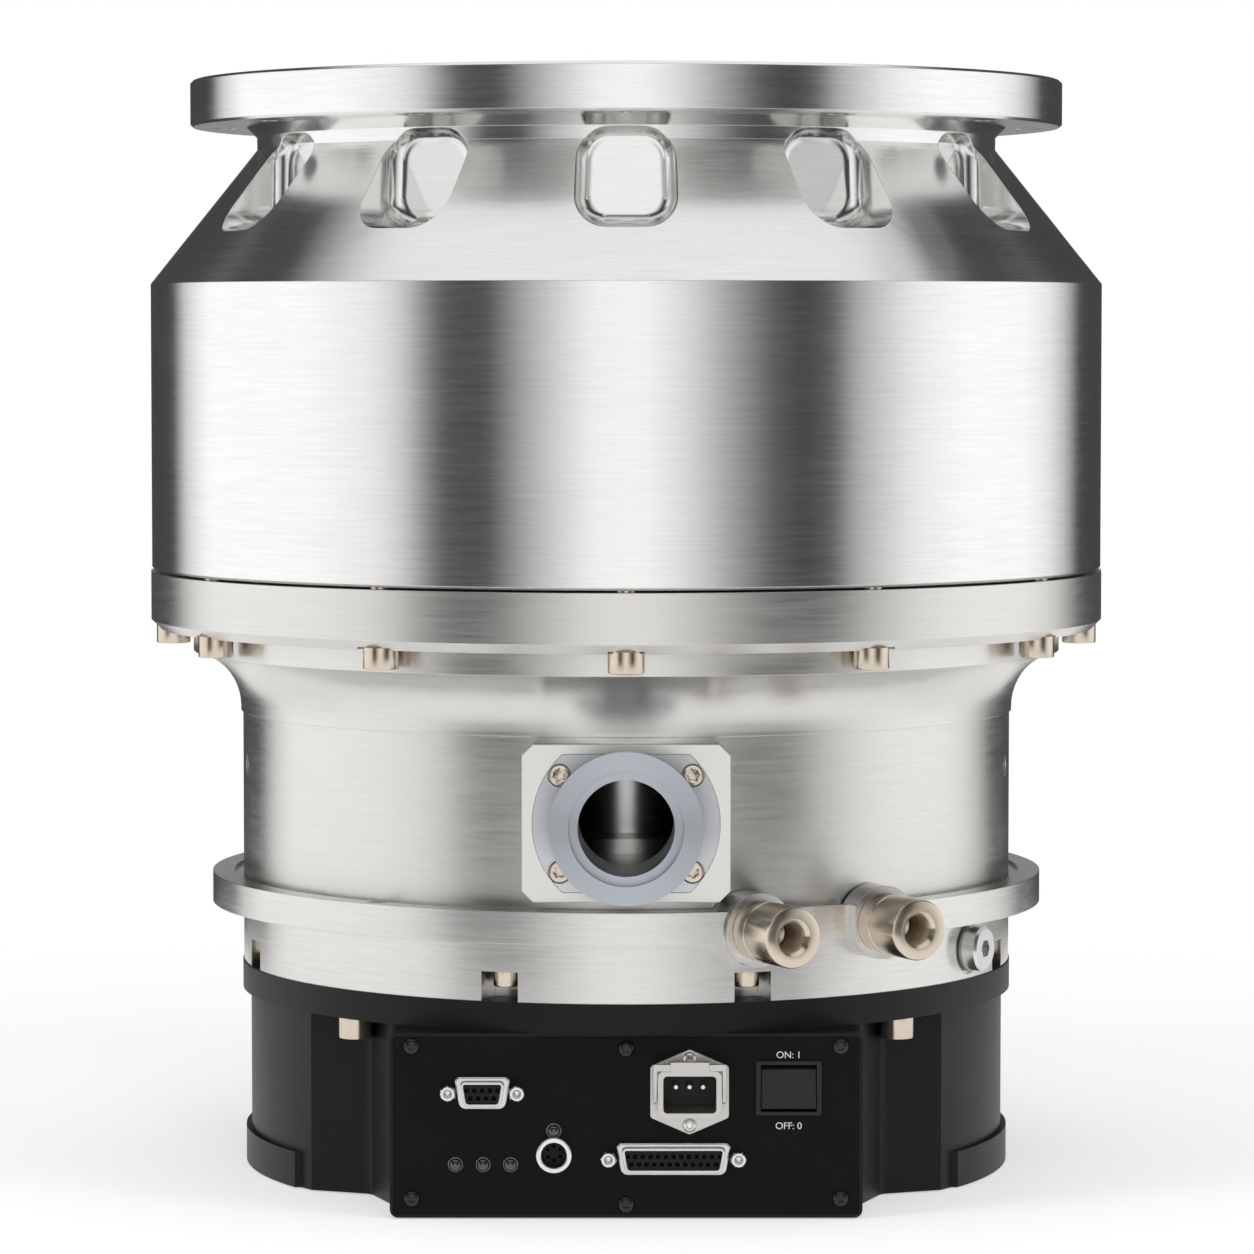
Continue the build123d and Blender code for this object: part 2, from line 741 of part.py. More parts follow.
def column_ring(gap, bottom, height):
    """Ring seated in the column's bore, with a running gap round the shaft."""
    return ring(shaft_radius + gap, column_bore - seat, bottom, bottom + height)


def make_upper_touchdown():
    """Touchdown bearing at the top of the column."""
    top = flange_top_z - shaft_flange_height - column_top_gap
    return column_ring(touchdown_gap, top - touchdown_height, touchdown_height)


def make_lower_touchdown():
    """Touchdown bearing in the hole of the base's floor."""
    return ring(shaft_radius + touchdown_gap, touchdown_radius - seat, base_z, base_z + touchdown_height)


# ---- Controller --------------------------------------------------------------------------------------------
def recess_cutter():
    """Cutter for one screw recess at the front: a wide V with a round bottom, below the ring."""
    reach_in, reach_out = cos(radians(recess_half_angle)) * reach, sin(radians(recess_half_angle)) * reach
    far = recess_corner_radius + reach_in
    outline = make_face(Polyline(
        (0, -recess_corner_radius), (reach_out, -far), (0, -far - reach), (-reach_out, -far), close=True))
    corner = outline.vertices().sort_by(Axis.Y)[-1]
    return extrude(fillet(corner, recess_fillet), controller_height)


def front_block(margin, corner, bottom, back):
    """Flat-fronted block under the ring, from a distance behind the panel's face up to that face."""
    width, height = 2 * (front_half_width - margin), controller_height - 2 * margin
    outline = fillet(Rectangle(width, height).vertices(), corner)
    return extrude(facing(back, controller_height / 2) * outline, bottom - back)


def panel_cutters(stand):
    """Cutters for all that passes through the panel, each as deep as the piece behind it needs."""
    inlet_hole = extrude(
        Rectangle(inlet_frame_width + 2 * seat, inlet_frame_height + 2 * seat), stand, both=True)
    switch_hole = extrude(
        Rectangle(switch_width - 2 * edge_break, switch_height - 2 * edge_break), stand, both=True)
    cuts = [panel_plane(inlet_place) * inlet_hole, panel_plane(switch_place) * switch_hole,
            panel_plane(link_place) * disc(link_radius - edge_break, -stand, stand)]
    for place, width in ((comm_place, comm_insert_width), (remote_place, remote_insert_width)):
        insert = extrude(socket_outline(width, socket_insert_height, seat), stand, both=True)
        cuts.append(panel_plane(place) * insert)
    cuts += [panel_plane(place) * disc(lamp_radius - edge_break + seat, -stand, stand) for place in lamp_places]
    return cuts


def make_controller_housing():
    """Black casting: ring, round body with screw recesses, side feet, flat front and inner bay."""
    body = turned(
        (0, 0), (controller_radius, 0), (controller_radius, controller_height),
        (controller_ring_radius, controller_height), (controller_ring_radius, skirt_z), (0, skirt_z))
    feet = disc(side_foot_radius, 0, side_foot_height) & Box(reach * 6, side_foot_half_width * 2, reach)
    body = body + feet - around(recess_cutter(), 4, controller_screw_angle)
    ahead = Pos(0, -panel_face, 0) * Box(
        reach * 6, reach, controller_height, align=(Align.CENTER, Align.MAX, Align.MIN))
    body = body - ahead + front_block(0, front_corner, panel_face, front_back)

    cavity = disc(controller_cavity, 0, skirt_z - controller_roof)
    bay = Pos(0, -panel_face + panel_thickness / 2, panel_bay_bottom) * Box(
        panel_bay_half_width * 2, reach, panel_bay_top - panel_bay_bottom,
        align=(Align.CENTER, Align.MIN, Align.MIN))
    body = body - [cavity, disc(cover_radius + seat, 0, cover_thickness), bay, disc(wire_hole_radius, 0, reach * 2)]
    lug = Pos(0, -cover_screw_circle, 0) * disc(cover_lug_radius, cover_thickness, cover_thickness + cover_lug_height)
    post = disc(board_post_radius, skirt_z - controller_roof - board_drop, skirt_z - controller_roof)
    body = body + around(lug, cover_screws) + [Pos(x, y, 0) * post for x, y in board_posts()]

    cuts = [front_block(panel_margin - seat, front_corner - panel_margin, panel_face + 1,
                        panel_face - panel_thickness)]
    cuts += [panel_plane(place) * disc(m3_screw[2] + thread_gap, -panel_screw_depth - 1, 0)
             for place in panel_screw_places]
    cuts += around(hanging_hole(m8_screw, reach, controller_screw_circle, controller_height - 1),
                   4, controller_screw_angle)
    cuts += around(hanging_hole(m3_screw, cover_lug_height, cover_screw_circle, 0), cover_screws)
    return body - cuts


def board_posts():
    """Four places under the controller's roof where the control board hangs."""
    half_width, half_depth = board_width / 2 - 6, board_depth / 2 - 6
    return [(x, y) for x in (-half_width, half_width) for y in (-half_depth, half_depth)]


def make_controller_screws():
    """Four cap screws in the recesses, up into the cooling plate."""
    length = controller_ring_height + controller_screw_depth - edge_break
    screw = hanging_screw(m8_screw, length, controller_screw_circle, controller_height)
    return around(screw, 4, controller_screw_angle)


def make_bottom_cover():
    """Round cover that closes the controller from below."""
    head_z = cover_head_sink + m3_screw[1]
    holes = around(hanging_hole(m3_screw, cover_thickness, cover_screw_circle, 0), cover_screws)
    heads = around(Pos(0, -cover_screw_circle, 0) * disc(m3_screw[0] + seat, 0, head_z), cover_screws)
    return disc(cover_radius, 0, cover_thickness) - holes - heads


def make_cover_screws():
    """Screws of the bottom cover, their heads sunk into it."""
    head_z = cover_head_sink + m3_screw[1]
    length = cover_thickness - head_z + cover_lug_height / 2
    return around(hanging_screw(m3_screw, length, cover_screw_circle, head_z), cover_screws)


def make_control_board():
    """Circuit board under the controller's roof."""
    top = skirt_z - controller_roof - board_drop
    return Pos(0, 0, top) * Box(
        board_width, board_depth, board_thickness, align=(Align.CENTER, Align.CENTER, Align.MAX))


# ---- Control panel ---------------------------------------------------------------------------------------------
def make_control_panel():
    """Flat plate, flush in the housing's front, cut out for its sockets and its switch."""
    corner = front_corner - panel_margin
    plate = front_block(panel_margin, corner, panel_face, panel_face - panel_thickness)
    holes = [panel_plane(place) * disc(m3_screw[2] + thread_gap, -panel_thickness, 1)
             for place in panel_screw_places]
    return plate - panel_cutters(switch_depth) - holes


def make_panel_screws():
    """Six button screws of the panel."""
    return [panel_plane(place) * cap_screw(m3_screw, panel_screw_depth) for place in panel_screw_places]


def socket_outline(width, height, gap=0.0):
    """Rounded trapezium of a D-shaped socket, wide side up."""
    half, rise = width / 2 + gap, height / 2 + gap
    slant = height * tan(radians(socket_slant)) / 2
    outline = make_face(Polyline(
        (-half, rise), (half, rise), (half - 2 * slant, -rise), (-half + 2 * slant, -rise), close=True))
    return fillet(outline.vertices(), height / 5)


def make_socket_shell(place, width, insert_width):
    """Metal shell of a D-shaped socket: flange on the panel and a rim round the insert."""
    insert = socket_outline(insert_width, socket_insert_height)
    flange = extrude(socket_outline(width, socket_height), socket_flange)
    rim = extrude(socket_outline(insert_width, socket_insert_height, socket_rim), socket_stand)
    return panel_plane(place) * (flange + rim - extrude(insert, reach))


def make_socket_insert(place, insert_width):
    """Black insert of a D-shaped socket, through the panel."""
    outline = socket_outline(insert_width, socket_insert_height)
    insert = extrude(outline, socket_stand - 0.4) + extrude(outline, -socket_depth)
    return panel_plane(place) * insert


def make_jackscrews():
    """Four hexagonal jackscrews, one at each end of both sockets."""
    stud = extrude(hexagon(2 * jackscrew_radius), jackscrew_height)
    screws = []
    for place, spacing in ((comm_place, comm_screw_spacing), (remote_place, remote_screw_spacing)):
        screws += [panel_plane(place) * (Pos(side * spacing / 2, 0, 0) * stud) for side in (-1, 1)]
    return screws


def button(radius):
    """Low round button with a broken edge, standing on Z = 0."""
    inner = radius - lamp_crown
    return turned((0, 0), (radius, 0), (radius, lamp_rim), (inner, lamp_rim + lamp_crown), (0, lamp_rim + lamp_crown))


def make_status_lamps():
    """Three domed lamps on stems through the panel."""
    stem = disc(lamp_radius - edge_break, -lamp_stem, 0)
    return [panel_plane(place) * (stem + button(lamp_radius)) for place in lamp_places]


def make_link_ring():
    """Silver ring of the round socket, with its neck through the panel."""
    neck = link_radius - edge_break - seat
    return panel_plane(link_place) * turned(
        (link_bore, -link_depth), (neck, -link_depth), (neck, 0), (link_radius, 0), (link_radius, link_stand),
        (link_bore, link_stand))


def make_link_insert():
    """Black insert of the round socket, set back from the ring's face."""
    return panel_plane(link_place) * disc(link_bore, -link_depth, link_stand - link_recess)


def make_link_key():
    """Small black button above the round socket, cut back by the socket's ring."""
    key = Pos(0, link_key_rise, 0) * button(link_key_radius)
    return panel_plane(link_place) * (key - disc(link_radius + seat, -1, reach))


# ---- Power inlet and its lever ------------------------------------------------------------------------
lever_pivot_z = inlet_place[1] - lever_pivot_drop
lever_pivot_out = inlet_plate_thickness + lever_gap + lever_arm_depth / 2


def inlet_plate():
    """Six-sided plate, pointed above and below, with blunt shoulders."""
    half, side, rise = inlet_plate_width / 2, inlet_plate_side / 2, inlet_plate_height / 2
    outline = make_face(Polyline(
        (-half, -side), (0, -rise), (half, -side), (half, side), (0, rise), (-half, side), close=True))
    return extrude(fillet(outline.vertices(), 1.5), inlet_plate_thickness)


def make_inlet_housing():
    """Metal housing of the power inlet: plate, frame round the opening and two pivot pins."""
    frame = extrude(fillet(Rectangle(inlet_frame_width, inlet_frame_height).vertices(), 2.2),
                    inlet_frame_stand)
    box = extrude(Rectangle(inlet_frame_width, inlet_frame_height), -inlet_depth)
    opening = extrude(fillet(Rectangle(inlet_opening_width, inlet_opening_height).vertices(), 1.5),
                      reach, both=True)
    pin = Cylinder(lever_pivot_radius, inlet_frame_width + 2 * (lever_gap + lever_pivot_length),
                   rotation=(0, 90, 0))
    pin = Pos(0, -lever_pivot_drop, lever_pivot_out) * pin
    screws = [Pos(0, side * inlet_screw_rise, 0) * disc(m3_screw[2] + thread_gap, -1, reach)
              for side in (-1, 1)]
    housing = inlet_plate() + frame + box + pin - opening - screws
    return panel_plane(inlet_place) * housing


def make_inlet_insert():
    """Insulating floor of the power inlet with its three pins."""
    floor = extrude(fillet(Rectangle(inlet_opening_width, inlet_opening_height).vertices(), 1.5), inlet_floor)
    floor = Pos(0, 0, -inlet_depth) * floor
    pins = [Pos(k * inlet_pin_pitch, inlet_pin_rise, 0) * disc(
        inlet_pin_radius, -inlet_depth + inlet_floor / 2, -inlet_depth + inlet_floor + inlet_pin_length)
        for k in (-1, 0, 1)]
    return panel_plane(inlet_place) * (floor + pins)


def make_inlet_screws():
    """Two screws of the power inlet's plate."""
    screw = Pos(0, 0, inlet_plate_thickness) * cap_screw(
        (m3_screw[0] - 0.5, m3_screw[1], m3_screw[2]), inlet_plate_thickness - 0.2)
    return [panel_plane(inlet_place) * (Pos(0, side * inlet_screw_rise, 0) * screw) for side in (-1, 1)]


def make_inlet_lever():
    """Locking bail: two side arms on the pivot pins, a bar across the frame's top and a thumb tab."""
    inner = inlet_frame_width / 2 + lever_gap
    pivot, half = -lever_pivot_drop, lever_arm_depth / 2
    bar_z = inlet_frame_height / 2 + lever_gap
    top = bar_z + lever_bar_height
    front = inlet_frame_stand + lever_gap
    back = inlet_plate_thickness + lever_gap
    outline = make_face(Polyline(
        (pivot, back), (pivot + half, back), (top - 1, front - 1), (top, front), (top, front + lever_bar),
        (bar_z, front + lever_bar), (pivot, back + lever_arm_depth), close=True))
    outline += Pos(pivot, lever_pivot_out) * Circle(half)
    arm = extrude(Plane(origin=(0, 0, 0), x_dir=(0, 1, 0), z_dir=(1, 0, 0)) * outline, lever_arm)
    arms = [Pos(inner, 0, 0) * arm, Pos(-inner - lever_arm, 0, 0) * arm]
    bar = Pos(0, bar_z, front) * Box(
        2 * (inner + lever_arm), lever_bar_height, lever_bar, align=(Align.CENTER, Align.MIN, Align.MIN))
    tab = Pos(0, bar_z, front) * Box(
        lever_tab_width, lever_tab_height, lever_bar + 1.2, align=(Align.CENTER, Align.MIN, Align.MIN))
    hole = Pos(0, -lever_pivot_drop, lever_pivot_out) * Cylinder(
        lever_pivot_radius + pivot_gap, reach, rotation=(0, 90, 0))
    lever = arms[0] + arms[1] + bar + tab - hole
    return panel_plane(inlet_place) * lever


# ---- Main switch ---------------------------------------------------------------------------------------
def rocker_pin(radius, length):
    """Pin across the switch, on the rocker's pivot."""
    return Pos(0, 0, switch_stand - rocker_pivot_depth) * Cylinder(radius, length, rotation=(0, 90, 0))


def make_switch_bezel():
    """Bezel and well of the main switch, with bearings for the rocker's pins."""
    bezel = extrude(fillet(Rectangle(switch_width, switch_height).vertices(), 0.8), switch_stand)
    well = extrude(Rectangle(switch_width - 2 * edge_break - 2 * seat, switch_height - 2 * edge_break - 2 * seat),
                   -switch_depth)
    opening = Rectangle(rocker_width + 2 * rocker_gap, rocker_height + 2 * rocker_swing_gap)
    inside = Pos(0, 0, -switch_depth + edge_break) * extrude(opening, reach)
    switch = bezel + well - inside - rocker_pin(rocker_pin_radius + pivot_gap, rocker_width + 2)
    return panel_plane(switch_place) * switch


def make_switch_rocker():
    """Rocker with its two pins, resting with the upper half pressed in."""
    paddle = Pos(0, 0, switch_stand - rocker_depth) * Box(
        rocker_width, rocker_height, rocker_depth, align=(Align.CENTER, Align.CENTER, Align.MIN))
    back_edges = paddle.edges().filter_by(Axis.X).sort_by(Axis.Z)[:2]
    paddle = chamfer(back_edges, rocker_depth / 2) + rocker_pin(rocker_pin_radius, rocker_width + 1.6)
    pivot = Axis((0, 0, switch_stand - rocker_pivot_depth), (1, 0, 0))
    return panel_plane(switch_place) * paddle.rotate(pivot, -rocker_tilt)


# ---- Nodes -------------------------------------------------------------------------------------------------------------------
def build():
    """Every node of the pump by name: a solid, or a list of separate solids."""
    upper_stage, lower_stage = make_stator_stages()
    left_coupling, right_coupling = make_water_couplings()
    return {
        "envelope": make_envelope(),
        "envelope_seal": make_envelope_seal(),
        "envelope_screws": make_envelope_screws(),
        "pump_base": make_pump_base(),
        "exhaust_nozzle": make_exhaust_nozzle(),
        "exhaust_seal": make_exhaust_seal(),
        "exhaust_screws": make_exhaust_screws(),
        "cooling_plate": make_cooling_plate(),
        "cooling_plate_screws": make_plate_screws(),
        "water_coupling_left": left_coupling,
        "water_coupling_right": right_coupling,
        "purge_plug": make_purge_plug(),
        "purge_washer": make_purge_washer(),
        "stator_stage_upper": upper_stage,
        "stator_stage_lower": lower_stage,
        "drag_stator": make_drag_stator(),
        "bearing_column": make_bearing_column(),
        "radial_bearing_upper": column_ring(bearing_gap, upper_bearing_z, bearing_height),
        "radial_bearing_lower": column_ring(bearing_gap, lower_bearing_z, bearing_height),
        "motor_stator": column_ring(bearing_gap, motor_z, motor_height),
        "axial_bearing": make_axial_bearing(),
        "touchdown_bearing_upper": make_upper_touchdown(),
        "touchdown_bearing_lower": make_lower_touchdown(),
        "turbine_rotor": make_turbine_rotor(),
        "rotor_shaft": make_rotor_shaft(),
        "rotor_clamp_screws": make_clamp_screws(),
        "thrust_disc": make_thrust_disc(),
        "controller_housing": make_controller_housing(),
        "controller_screws": make_controller_screws(),
        "bottom_cover": make_bottom_cover(),
        "bottom_cover_screws": make_cover_screws(),
        "control_board": make_control_board(),
        "control_panel": make_control_panel(),
        "panel_screws": make_panel_screws(),
        "comm_socket_shell": make_socket_shell(comm_place, comm_width, comm_insert_width),
        "comm_socket_insert": make_socket_insert(comm_place, comm_insert_width),
        "remote_socket_shell": make_socket_shell(remote_place, remote_width, remote_insert_width),
        "remote_socket_insert": make_socket_insert(remote_place, remote_insert_width),
        "socket_jackscrews": make_jackscrews(),
        "status_lamps": make_status_lamps(),
        "link_socket_ring": make_link_ring(),
        "link_socket_insert": make_link_insert(),
        "link_socket_key": make_link_key(),
        "power_inlet_housing": make_inlet_housing(),
        "power_inlet_insert": make_inlet_insert(),
        "power_inlet_screws": make_inlet_screws(),
        "power_inlet_lever": make_inlet_lever(),
        "switch_bezel": make_switch_bezel(),
        "switch_rocker": make_switch_rocker(),
    }


os.makedirs("parts", exist_ok=True)
for name, shape in build().items():
    solids = shape if isinstance(shape, list) else shape.solids()
    export_step(solids[0] if len(solids) == 1 else Compound(children=list(solids)), f"parts/{name}.step")
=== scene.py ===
"""Looks of a turbomolecular pump with a levitated rotor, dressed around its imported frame.

Each sub-assembly of the pump is a class. Its fields are its sizes in millimetres, its methods build the
detailed pieces and dress the frame's own nodes. Pieces are made along their own axis and moved to their
place in millimetres, and make_piece turns them into objects, in metres.
"""
from __future__ import annotations

import logging
import math
from dataclasses import dataclass, replace
from enum import Enum
from typing import Iterable

import bmesh
import bpy
from mathutils import Matrix, Vector

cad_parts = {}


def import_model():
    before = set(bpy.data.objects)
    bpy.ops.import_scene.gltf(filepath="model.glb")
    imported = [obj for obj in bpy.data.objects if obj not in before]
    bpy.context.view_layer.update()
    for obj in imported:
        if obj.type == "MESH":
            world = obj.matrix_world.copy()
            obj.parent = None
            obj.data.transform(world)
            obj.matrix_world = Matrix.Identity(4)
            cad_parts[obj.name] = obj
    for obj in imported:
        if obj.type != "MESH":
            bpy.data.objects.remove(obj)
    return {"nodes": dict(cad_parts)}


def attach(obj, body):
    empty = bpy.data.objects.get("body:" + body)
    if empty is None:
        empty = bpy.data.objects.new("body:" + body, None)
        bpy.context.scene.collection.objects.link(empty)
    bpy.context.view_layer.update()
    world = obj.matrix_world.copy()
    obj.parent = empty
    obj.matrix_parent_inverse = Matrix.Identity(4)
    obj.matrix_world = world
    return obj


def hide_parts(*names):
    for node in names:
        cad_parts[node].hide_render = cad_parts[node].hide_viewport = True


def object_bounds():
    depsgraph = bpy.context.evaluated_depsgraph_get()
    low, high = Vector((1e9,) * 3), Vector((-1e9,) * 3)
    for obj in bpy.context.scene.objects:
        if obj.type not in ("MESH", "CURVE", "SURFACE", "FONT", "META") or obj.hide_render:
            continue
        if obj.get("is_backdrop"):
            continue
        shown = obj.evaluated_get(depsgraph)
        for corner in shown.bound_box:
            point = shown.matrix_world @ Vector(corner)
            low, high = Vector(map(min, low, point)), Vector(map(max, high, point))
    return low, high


LOG = logging.getLogger("turbopump")
TO_METRES = Matrix.Scale(0.001, 4)
TO_MILLIMETRES = Matrix.Scale(1000.0, 4)
POLE = 0.001            # least radius of a ring, in millimetres
LEVEL = 1e-5            # a vertex this near to a height lies at it, in millimetres
DOUBLED = 2e-6          # vertices of a node this near to each other are one, in metres
FLAT = 0.2              # faces of the envelope that meet at less than this angle, in degrees, are one
LEAST = 1e-9            # keeps a divisor from being nothing
SHARP = 32.0            # edges over this angle, in degrees, stay sharp
PANEL_FACE = 145.0      # distance of the control panel's face from the pump's axis
NOISE_LOW, NOISE_HIGH = 0.3, 0.7    # most values of a noise lie between these
LOBE_COUNT, LOBE_RISE = 6, 0.16     # number and height of the lobes of a screw's recess
RECESS_RIM = 1.22                   # radius of a recess's rim by that of the recess
DOME = ((1.0, 0.12), (1.0, 0.25), (0.93, 0.55), (0.8, 0.8), (0.62, 0.95))   # domed head's outline
WHITE = (1, 1, 1, 1)

Point = tuple[float, float]
Triple = tuple[float, float, float]
Socket = bpy.types.NodeSocket
Inputs = dict[str | int, object]
Object = bpy.types.Object
BMesh, BMVert, BMEdge = bmesh.types.BMesh, bmesh.types.BMVert, bmesh.types.BMEdge


# ---- Placing ----
def outward(distance: float, x: float, z: float) -> Matrix:
    """Placement at a distance in front of the axis, its local X across, Y up and Z out of the front."""
    turn = Matrix(((1, 0, 0, 0), (0, 0, -1, 0), (0, 1, 0, 0), (0, 0, 0, 1)))
    return Matrix.Translation((x, -distance, z)) @ turn


def on_panel(place: Point) -> Matrix:
    """Placement on the control panel's face."""
    return outward(PANEL_FACE, *place)


def at_angle(degrees: float) -> Matrix:
    """Turn about the pump's axis, counted from the front towards +X."""
    return Matrix.Rotation(math.radians(degrees), 4, "Z")


def hanging(angles: Iterable[float], circle: float, z: float) -> list[Matrix]:
    """Placements of pieces that hang head down on a circle, their local Z pointing down."""
    down = Matrix.Translation((0, -circle, z)) @ Matrix.Rotation(math.pi, 4, "X")
    return [at_angle(angle) @ down for angle in angles]


def even_angles(count: int, first: float = 0.0) -> list[float]:
    """Angles that divide the full turn evenly."""
    return [first + 360.0 / count * k for k in range(count)]


# ---- Finishes ----
class Nodes:
    """Node tree, with short calls for the nodes that finishes and surroundings share."""

    def __init__(self, tree: bpy.types.NodeTree) -> None:
        """Take a tree and empty it."""
        self.tree = tree
        tree.nodes.clear()

    def put(self, node: bpy.types.Node, inputs: Inputs) -> None:
        """Link outputs to a node's inputs, or set the inputs' own values."""
        for name, value in inputs.items():
            if isinstance(value, Socket):
                self.tree.links.new(value, node.inputs[name])
            else:
                node.inputs[name].default_value = value

    def node(self, kind: str, inputs: Inputs | None = None, **settings: object) -> bpy.types.Node:
        """Add a node of a kind, named without "ShaderNode", and give it its inputs and properties."""
        made = self.tree.nodes.new("ShaderNode" + kind)
        for key, value in settings.items():
            setattr(made, key, value)
        self.put(made, inputs or {})
        return made

    def out(self, kind: str, output: str | int, inputs: Inputs | None = None, **settings: object) -> Socket:
        """Add a node and return one of its outputs, by name or number."""
        return self.node(kind, inputs, **settings).outputs[output]

    def math(self, operation: str, *values: object) -> Socket:
        """Scalar operation."""
        return self.out("Math", 0, dict(enumerate(values)), operation=operation)

    def vector(self, operation: str, *values: object) -> Socket:
        """Vector operation; returns the scalar output for dot products and lengths."""
        output = "Value" if operation in ("DOT_PRODUCT", "LENGTH") else "Vector"
        return self.out("VectorMath", output, dict(enumerate(values)), operation=operation)

    def scaled(self, vector: object, factor: object) -> Socket:
        """Vector times a scalar."""
        return self.out("VectorMath", "Vector", {0: vector, "Scale": factor}, operation="SCALE")

    def rise(self, value: object, start: float, end: float, low: float = 0.0, high: float = 1.0,
             kind: str = "SMOOTHSTEP") -> Socket:
        """Rise from a low to a high value while another value goes from start to end."""
        return self.out("MapRange", "Result", {
            "Value": value, "From Min": start, "From Max": end, "To Min": low, "To Max": high},
            interpolation_type=kind)

    def blend(self, factor: object, first: object, second: object) -> Socket:
        """Shader between two shaders."""
        return self.out("MixShader", 0, {0: factor, 1: first, 2: second})


class Shader(Nodes):
    """Material that starts with a Principled shader on its output."""

    def __init__(self, name: str) -> None:
        """Start the material."""
        self.material = bpy.data.materials.new(name)
        self.material.use_nodes = True
        super().__init__(self.material.node_tree)
        self.surface = self.node("BsdfPrincipled")
        self.output = self.node("OutputMaterial", {"Surface": self.surface.outputs["BSDF"]})

    def noise(self, vector: object, scale: float, detail: float = 2.0, roughness: float = 0.5) -> Socket:
        """Noise between 0 and 1 on a vector."""
        return self.out("TexNoise", "Fac", {
            "Vector": vector, "Scale": scale, "Detail": detail, "Roughness": roughness})

    def spread(self, value: object, low: float, high: float) -> Socket:
        """Map the middle of a noise's range to values from low to high."""
        return self.rise(value, NOISE_LOW, NOISE_HIGH, low, high, "LINEAR")

    def mix(self, factor: object, first: object, second: object) -> Socket:
        """Colour between two colours."""
        return self.out("Mix", 2, {0: factor, 6: first, 7: second}, data_type="RGBA")

    def shade(self, colour: Triple, value: object, spread: float) -> Socket:
        """Colour that gets lighter and darker by a share with a noise."""
        return self.mix(self.spread(value, 0.0, 1.0), (*(c * (1 - spread) for c in colour), 1),
                        (*(min(1.0, c * (1 + spread)) for c in colour), 1))

    def relief(self, height: object, depth: float, edge: float) -> None:
        """Bump of a depth from a height, on edges that seem to have a radius; both in metres."""
        inputs = {"Height": height, "Distance": depth, "Strength": 1.0}
        if edge:
            inputs["Normal"] = self.out("Bevel", "Normal", {"Radius": edge}, samples=4)
        self.put(self.surface, {"Normal": self.out("Bump", "Normal", inputs)})

    def place(self) -> Socket:
        """Object coordinates."""
        return self.out("TexCoord", "Object")


@dataclass(frozen=True)
class Finish:
    """Surface finish of one of the record's material slots, and how sharp edges stay under it."""

    slot: str
    colour: Triple
    roughness: float
    label: str = "finish"
    sharp: float = SHARP

    def material(self) -> bpy.types.Material:
        """The finish's material, made once."""
        name = f"{self.slot}_{self.label}"
        if name not in bpy.data.materials:
            self.shade(Shader(name))
        return bpy.data.materials[name]

    def shade(self, shader: Shader) -> None:
        """Fill the node tree."""
        raise NotImplementedError

    def cover(self, shader: Shader, colour: object, value: object, low: float = 0.92,
              high: float = 1.1) -> None:
        """Set the colour, and let the roughness follow a noise between two shares of its value."""
        shader.put(shader.surface, {
            "Base Color": colour,
            "Roughness": shader.spread(value, self.roughness * low, self.roughness * high)})


@dataclass(frozen=True)
class TurnedMetal(Finish):
    """Metal turned on a lathe: fine lines round an axis, a sheen that spreads along it."""

    centre: Triple = (0.0, 0.0, 0.0)
    axis: Triple = (0.0, 0.0, 1.0)
    streak: float = 7.0
    pitch: float = 900.0
    cloud_streak: float = 3.0
    cloud_pitch: float = 60.0
    cloud_share: float = 0.3
    lean: float = 1.13
    depth: float = 4e-6
    grain: float = 0.06
    anisotropy: float = 0.75
    edge: float = 0.0004
    foot_colour: Triple | None = None
    foot_height: float = 0.0

    def shade(self, shader: Shader) -> None:
        """Lines from noise that runs fast along the axis and slowly round it."""
        vector, scaled, times = shader.vector, shader.scaled, "MULTIPLY"
        local = vector("SUBTRACT", shader.place(), self.centre)
        height = vector("DOT_PRODUCT", local, self.axis)
        across = vector("SUBTRACT", local, scaled(self.axis, height))
        direction = vector("NORMALIZE", across)
        along = shader.math("SUBTRACT", height, shader.math(times, vector("LENGTH", across), self.lean))

        def lathe(streak: float, pitch: float, detail: float, fine: float) -> Socket:
            """Noise with one scale round the axis and another along it."""
            step = scaled(self.axis, shader.math(times, along, pitch))
            return shader.noise(vector("ADD", scaled(direction, streak), step), 1.0, detail, fine)

        lines = lathe(self.streak, self.pitch, 3.0, 0.6)
        cloud = lathe(self.cloud_streak, self.cloud_pitch, 2.0, 0.5)
        mixed = shader.math("ADD", shader.math(times, lines, 1 - self.cloud_share),
                            shader.math(times, cloud, self.cloud_share))
        colour = shader.shade(self.colour, mixed, self.grain)
        if self.foot_colour:
            colour = shader.mix(shader.math("LESS_THAN", height, self.foot_height), colour,
                                shader.shade(self.foot_colour, mixed, self.grain))
        self.cover(shader, colour, mixed, 0.85, 1.15)
        round_it = vector("CROSS_PRODUCT", self.axis, direction)
        tangent = vector("CROSS_PRODUCT", round_it, shader.out("NewGeometry", "Normal"))
        shader.put(shader.surface, {
            "Metallic": 1.0, "Anisotropic": self.anisotropy, "Tangent": vector("NORMALIZE", tangent)})
        shader.relief(lines, self.depth, self.edge)


@dataclass(frozen=True)
class PlainMetal(Finish):
    """Small metal piece, plated or milled, with faint cloudiness."""

    depth: float = 6e-7
    grain: float = 0.03
    edge: float = 0.0002
    scale: float = 300.0

    def shade(self, shader: Shader) -> None:
        """Cloudy colour and roughness."""
        place = shader.place()
        cloud = shader.noise(place, self.scale, 3.0, 0.6)
        self.cover(shader, shader.shade(self.colour, cloud, self.grain), cloud)
        shader.put(shader.surface, {"Metallic": 1.0})
        shader.relief(shader.noise(place, self.scale * 4, 2.0), self.depth, self.edge)


